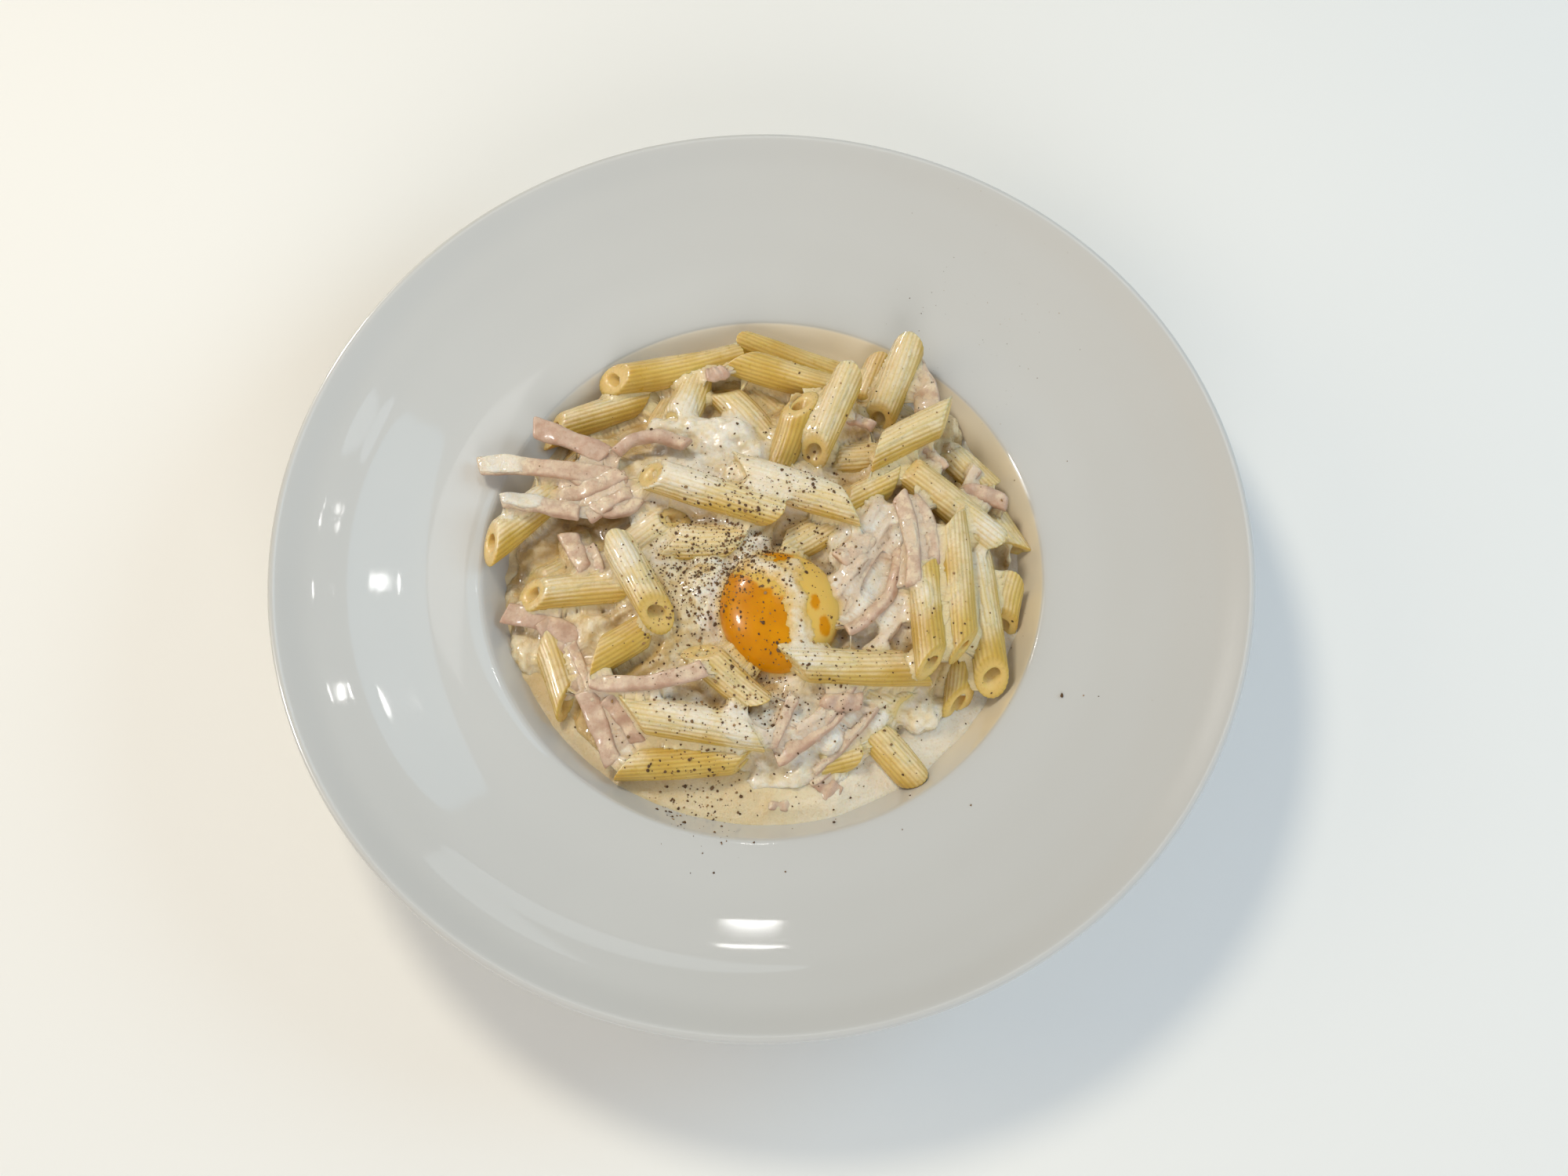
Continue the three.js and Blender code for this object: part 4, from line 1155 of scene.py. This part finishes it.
def pool_mesh(cream, colours):
    """The sauce that fills the well under the heap. Its open surface rises to the heap and to the wall, and
    is thicker and whiter at the right, partly painted light that makes up for the well's shade."""
    edge = wall_radius(SAUCE_LEVEL) + 0.15
    below = [(r, wall_floor(r) + 0.3) for r in (0, 20, 44, 55, 60, 65, 69, 72)]
    top = [(r, SAUCE_LEVEL) for r in (edge + 1.5, edge + 0.8, *np.linspace(edge, edge - 4, 12)[:-1],
                                      *np.linspace(edge - 4, 36, 46))]
    mesh = turned("cream_pool", [*below, *top, (0, SAUCE_LEVEL)], 420)
    points = points_of(mesh)
    radius = np.hypot(points[:, 0], points[:, 1])
    surface = (points[:, 2] > SAUCE_LEVEL - 0.01) & (radius > 35)
    tree = tree_of(cream)
    spots = points[surface]
    near = np.array([tree.find_nearest(Vector((x, y, SAUCE_LEVEL + 0.8)))[3] for x, y, _ in spots])
    rise = 1.8 * np.exp(-near / 2.6) + 0.22 * cloud(spots, 9, 2, 2.0) + 0.12 * cloud(spots, 2.6, 2, 4.0)
    to_wall = np.clip(edge - radius[surface], 0, None)
    climb = 0.8 * np.exp(-to_wall / 1.1) * (0.7 + 0.5 * cloud(spots, 12, 2, 9.0))
    spots[:, 2] = SAUCE_LEVEL + rise + climb
    outward = np.array([wall_radius(z) for z in spots[:, 2]]) - wall_radius(SAUCE_LEVEL)
    spots[:, :2] *= (1 + outward * (1 - soft_step(to_wall, 0.0, 2.0)) / radius[surface])[:, None]
    points[surface] = spots
    move_points(mesh, points)

    points = points_of(mesh)
    # whiter towards the right, partly painted light
    right = soft_step(points[:, 0], -10, 45)
    paint_colour(mesh, "under", np.tile(np.array(colours.cream_deep), (len(points), 1)))
    paint(mesh, "thick", 0.8 + 0.18 * right)
    paint(mesh, "foam", np.clip(0.4 + 0.6 * right + 0.2 * cloud(points, 9, 2, 6.0), 0, 1))
    for name in ("hollow", "whey", "ribbed"):
        paint(mesh, name, np.zeros(len(points)))
    return mesh


# ---- operators ----

class CarbonaraSizes(bpy.types.PropertyGroup):
    penne_radius: FloatProperty(name="Penne radius", description="Outer radius of a cooked tube",
                                default=4.75 * MM, unit="LENGTH")
    bore_radius: FloatProperty(name="Bore radius", description="Radius of the hole in a tube",
                               default=2.6 * MM, unit="LENGTH")
    ridge_count: IntProperty(name="Ridges", description="Ridges round each tube", default=22)
    ridge_depth: FloatProperty(name="Ridge depth", description="Depth of the grooves between ridges",
                               default=0.12 * MM, unit="LENGTH")
    cream_voxel: FloatProperty(name="Cream fineness", description="Size of the cells the cream is fused in",
                               default=0.68 * MM, unit="LENGTH")
    pepper_size: FloatProperty(name="Pepper size", description="Middle size of a fleck of pepper",
                               default=0.62 * MM, unit="LENGTH")
    seed: IntProperty(name="Seed", description="Start of the random draws", default=7)


class CarbonaraColours(bpy.types.PropertyGroup):
    def shade(name, description, rgb):
        return FloatVectorProperty(name=name, description=description, subtype="COLOR", size=3,
                                   min=0.0, max=1.0, default=rgb)

    glaze: shade("Glaze", "White glaze of the bowl", (0.583, 0.583, 0.573))
    # Painted glow of light through the tube walls
    bore: shade("Bores", "Inside of the tubes", (0.76, 0.54, 0.17))
    # Sauce on the right of the well's wall, partly painted warm bounce light
    stain: shade("Stain", "Thin sauce on the wall of the well", (0.82, 0.73, 0.57))
    # Painted light on the shaded wall at the back, tinted like the food's bounce
    thin_stain: shade("Thin stain", "Trace of sauce on the wall at the back", (0.97, 0.91, 0.79))
    pasta: shade("Pasta", "Golden pasta", (0.60, 0.385, 0.05))
    pasta_pale: shade("Pale pasta", "Paler patches of pasta", (0.69, 0.49, 0.115))
    # Painted shade in the grooves, and the colour of the pasta's small specks
    pasta_groove: shade("Grooves", "Bottom of the grooves", (0.47, 0.28, 0.04))
    # Thin cream, and painted light on the side the window lamp lights
    veil: shade("Veil", "Thin cream over pasta or ham", (0.91, 0.795, 0.575))
    cream: shade("Cream", "Thick cream", (0.81, 0.70, 0.485))
    # Deep cream, also the painted shade of shadowed cream
    cream_deep: shade("Deep cream", "Yellower patches of cream", (0.63, 0.45, 0.19))
    foam: shade("Foam", "Whitest foam and curds", (0.87, 0.81, 0.70))
    # Thin cream, bluish with painted cool light
    whey: shade("Whey", "Thin bluish cream by the yolk", (0.70, 0.74, 0.74))
    # Painted shade deep between the pieces
    hollow: shade("Hollows", "Cream deep between the pieces", (0.46, 0.30, 0.11))
    yolk: shade("Yolk", "Raw yolk", (0.69, 0.28, 0.001))
    yolk_deep: shade("Deep yolk", "Darker patches of yolk", (0.60, 0.225, 0.001))
    yolk_skin: shade("Yolk skin", "Thin cream over the yolk", (0.75, 0.48, 0.11))
    ham: shade("Ham", "Pink cooked ham", (0.50, 0.31, 0.22))
    ham_pale: shade("Pale ham", "Paler patches of ham", (0.63, 0.46, 0.355))
    pepper: shade("Pepper", "Dark pepper", (0.09, 0.045, 0.017))
    pepper_husk: shade("Pepper husk", "Lighter pieces of husk", (0.40, 0.24, 0.10))


class CarbonaraStudio(bpy.types.PropertyGroup):
    soft_light: FloatProperty(name="Soft light", description="Share of the soft lights' power", default=1.0)
    glints: FloatProperty(name="Glints", description="Share of the mirrored lamps' brightness", default=1.0)
    sky: FloatProperty(name="Surroundings", description="Strength of the light from all round", default=0.34)


class CARBONARA_OT_bowl(bpy.types.Operator):
    """Spin the wide-rimmed bowl"""
    bl_idname = "carbonara.bowl"
    bl_label = "Bowl"

    def execute(self, context):
        serve("serving_bowl", bowl_mesh(), glaze_material(context.scene.carbonara_colours), "glaze", "bowl")
        return {"FINISHED"}


class CARBONARA_OT_penne(bpy.types.Operator):
    """Lay the ridged penne"""
    bl_idname = "carbonara.penne"
    bl_label = "Penne"

    def execute(self, context):
        sizes = context.scene.carbonara_sizes
        material = pasta_material(context.scene.carbonara_colours)
        pattern = tube_pattern(sizes, around=6 * sizes.ridge_count, along=15)
        for group, tubes in PENNE.items():
            mesh, groove, skin = tubes_mesh(f"penne_{group}", pattern, tubes, sizes, ridged=True)
            share = np.repeat([tube.cream for tube in tubes], len(pattern.vertices))
            paint(mesh, "groove", groove)
            # painted glow inside the tubes
            paint(mesh, "bore", 1 - skin)
            veil = PENNE_VEIL * veil_over(mesh, share)
            # less veil in the grooves adds to their painted shade
            paint(mesh, "veil", veil * (0.35 + 0.65 * skin) * (1 - 0.3 * groove))
            serve(f"penne_{group}", mesh, material, "pasta", "penne_heap")
        return {"FINISHED"}


class CARBONARA_OT_ham(bpy.types.Operator):
    """Lay the strips of ham"""
    bl_idname = "carbonara.ham"
    bl_label = "Ham"

    def strip(self, name, strip):
        mesh = strip_mesh(name, strip)
        paint(mesh, "veil", HAM_VEIL * veil_over(mesh, strip.cream))
        points = points_of(mesh)
        rough = HAM_ROUGH * cloud(points, 2.2, 2, strip.width)
        move_points(mesh, points + normals_of(mesh) * rough[:, None])
        return mesh

    def execute(self, context):
        material = ham_material(context.scene.carbonara_colours)
        for name, strip in HAM_STRIPS.items():
            serve(name, self.strip(name, strip), material, "ham", name.replace("ham_", "ham_strip_"))
        shreds = gathered(self.strip(name, strip) for name, strip in SHRED_STRIPS.items())
        serve("ham_shreds", mesh_from(shreds, "ham_shreds"), material, "ham")
        return {"FINISHED"}


class CARBONARA_OT_yolk(bpy.types.Operator):
    """Set the raw yolk on the penne"""
    bl_idname = "carbonara.yolk"
    bl_label = "Egg yolk"

    def execute(self, context):
        mesh = yolk_mesh("yolk", divisions=6)
        paint(mesh, "skin", yolk_skin(points_of(mesh)))
        serve("yolk", mesh, yolk_material(context.scene.carbonara_colours), "yolk", "egg_yolk")
        return {"FINISHED"}


class CARBONARA_OT_cream(bpy.types.Operator):
    """Pour the cream over the heap and fill the well"""
    bl_idname = "carbonara.cream"
    bl_label = "Cream"

    def execute(self, context):
        sizes, colours = context.scene.carbonara_sizes, context.scene.carbonara_colours
        material = cream_material(colours)
        cream = cream_mesh(sizes, colours)
        pool = pool_mesh(cream, colours)
        serve("cream_over_penne", cream, material, "cream", "penne_heap")
        serve("cream_pool", pool, material, "cream", "cream_sauce")
        return {"FINISHED"}


class CARBONARA_OT_pepper(bpy.types.Operator):
    """Grind the pepper over the dish"""
    bl_idname = "carbonara.pepper"
    bl_label = "Pepper"

    def execute(self, context):
        sizes = context.scene.carbonara_sizes
        draw = random.Random(sizes.seed)
        tree = tree_of(*[piece.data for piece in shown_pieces()])
        bm = bmesh.new()
        husk = []
        for x, y, spread, count, coarse in PEPPER_CLOUDS:
            for _ in range(count):
                above = Vector((draw.gauss(x, spread), draw.gauss(y, spread), ABOVE_ALL)) * MM
                spot, normal, _, _ = tree.ray_cast(above, Vector((0, 0, -1)))
                size = coarse * sizes.pepper_size * min(draw.lognormvariate(*FLECK_SIZES), FLECK_MOST)
                squeeze = [draw.uniform(0.55, 1.0), draw.uniform(0.55, 1.0), draw.uniform(0.3, 0.7)]
                spin = draw.uniform(0, math.tau)
                shade = draw.random() ** 3
                if spot is None or spot.to_2d().length > PEPPER_REACH * MM:
                    continue
                place = (Matrix.Translation(spot + normal * size * FLECK_LIFT)
                         @ normal.to_track_quat("Z", "Y").to_matrix().to_4x4()
                         @ Matrix.Rotation(spin, 4, "Z")
                         @ Matrix.Diagonal((*[size * s for s in squeeze], 1.0)))
                fleck = bmesh.ops.create_icosphere(bm, subdivisions=1, radius=FLECK_RADIUS, matrix=place)
                for vert in fleck["verts"]:
                    vert.co += Vector([draw.uniform(-FLECK_RAGGED, FLECK_RAGGED) * size for _ in range(3)])
                husk += [shade] * len(fleck["verts"])
        mesh = mesh_from(bm, "ground_pepper")
        mesh.transform(Matrix.Scale(1 / MM, 4))
        paint(mesh, "husk", husk)
        serve("ground_pepper", mesh, pepper_material(context.scene.carbonara_colours))
        mesh.shade_flat()
        return {"FINISHED"}


def add_lamp(name, position, target, size, tint, across=Vector((1, 0, 0))):
    """An oval lamp aimed at a target, with its first side along the given direction."""
    light = bpy.data.lights.new(name, "AREA")
    light.shape, light.size, light.size_y, light.color = "ELLIPSE", size[0] * MM, size[1] * MM, tint
    lamp = bpy.data.objects.new(name, light)
    back = (Vector(position) - Vector(target)).normalized()
    side = (across - across.dot(back) * back).normalized()
    facing = Matrix((side, back.cross(side), back)).transposed().to_4x4()
    lamp.matrix_world = Matrix.Translation(Vector(position) * MM) @ facing
    bpy.context.scene.collection.objects.link(lamp)
    return lamp


def power_of(light, brightness):
    """The power that gives an oval lamp its brightness."""
    return brightness * math.pi ** 2 * light.size * light.size_y / 4


class CARBONARA_OT_stage(bpy.types.Operator):
    """Set the table top, the lights and the camera"""
    bl_idname = "carbonara.stage"
    bl_label = "Stage"

    def execute(self, context):
        studio = context.scene.carbonara_studio
        bm = bmesh.new()
        bmesh.ops.create_grid(bm, x_segments=1, y_segments=1, size=TABLE_HALF)
        mesh = mesh_from(bm, "table_top")
        mesh.materials.append(floor_material())
        floor = bpy.data.objects.new("table_top", mesh)
        context.scene.collection.objects.link(floor)
        floor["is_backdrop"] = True

        world = bpy.data.worlds.new("Soft room")
        world.use_nodes = True
        backdrop = world.node_tree.nodes["Background"]
        backdrop.inputs[0].default_value = colour(ROOM_TINT)
        backdrop.inputs[1].default_value = studio.sky
        context.scene.world = world
        context.scene.view_settings.view_transform = "Standard"

        elevation = math.radians(CAMERA_ELEVATION)
        aim = Vector(CAMERA_AIM)
        eye = aim + CAMERA_DISTANCE * Vector((0, -math.cos(elevation), math.sin(elevation)))
        for name, x, y, z, size, power, tint in SOFT_LIGHTS:
            lamp = add_lamp(name, (x, y, z), LAMPS_FACE, (size, size), tint)
            lamp.data.energy = power * studio.soft_light
            lamp.visible_glossy = False
        for name, x, y, z, size, brightness in WET_PANELS:
            lamp = add_lamp(name, (x, y, z), LAMPS_FACE, (size, size), WHITE)
            lamp.data.energy = power_of(lamp.data, brightness * studio.glints)
            lamp.visible_diffuse = False
        tree = tree_of(bpy.data.objects["serving_bowl"].data)
        for i, (x, y, width, length, brightness, tint) in enumerate(GLINTS, 1):
            spot, normal, _, _ = tree.ray_cast(Vector((x, y, ABOVE_ALL)) * MM, Vector((0, 0, -1)))
            to_eye = (eye * MM - spot).normalized()
            away = 2 * normal.dot(to_eye) * normal - to_eye
            lamp = add_lamp(f"lamp_{i}", spot / MM + away * GLINT_DISTANCE, spot / MM, (length, width), tint,
                            Vector((-y, x, 0)))
            lamp.data.energy = power_of(lamp.data, brightness * studio.glints)
            lamp.visible_diffuse = False

        camera = bpy.data.cameras.new("camera")
        camera.lens, camera.sensor_width = CAMERA_LENS, CAMERA_SENSOR
        view = bpy.data.objects.new("camera", camera)
        view.location = eye * MM
        view.rotation_euler = (aim - eye).to_track_quat("-Z", "Y").to_euler()
        context.scene.collection.objects.link(view)
        context.scene.camera = view
        return {"FINISHED"}


class CARBONARA_PT_panel(bpy.types.Panel):
    bl_idname = "CARBONARA_PT_panel"
    bl_label = "Penne Carbonara"
    bl_space_type = "VIEW_3D"
    bl_region_type = "UI"
    bl_category = "Carbonara"

    def draw(self, context):
        for operator in OPERATORS:
            self.layout.operator(operator.bl_idname)
        for key in GROUPS:
            group, box = getattr(context.scene, key), self.layout.box()
            for name in group.bl_rna.properties.keys():
                if name not in {"rna_type", "name"}:
                    box.prop(group, name)


OPERATORS = (CARBONARA_OT_bowl, CARBONARA_OT_penne, CARBONARA_OT_ham, CARBONARA_OT_yolk,
             CARBONARA_OT_cream, CARBONARA_OT_pepper, CARBONARA_OT_stage)
GROUPS = {"carbonara_sizes": CarbonaraSizes, "carbonara_colours": CarbonaraColours,
          "carbonara_studio": CarbonaraStudio}
CLASSES = (*GROUPS.values(), *OPERATORS, CARBONARA_PT_panel)


def register():
    for made in CLASSES:
        bpy.utils.register_class(made)
    for name, group in GROUPS.items():
        setattr(bpy.types.Scene, name, PointerProperty(type=group))


def unregister():
    for name in GROUPS:
        delattr(bpy.types.Scene, name)
    for made in reversed(CLASSES):
        bpy.utils.unregister_class(made)


def main():
    register()
    bpy.ops.carbonara.bowl()
    bpy.ops.carbonara.penne()
    bpy.ops.carbonara.ham()
    bpy.ops.carbonara.yolk()
    bpy.ops.carbonara.cream()
    bpy.ops.carbonara.pepper()
    bpy.ops.carbonara.stage()


if __name__ == "__main__":
    main()
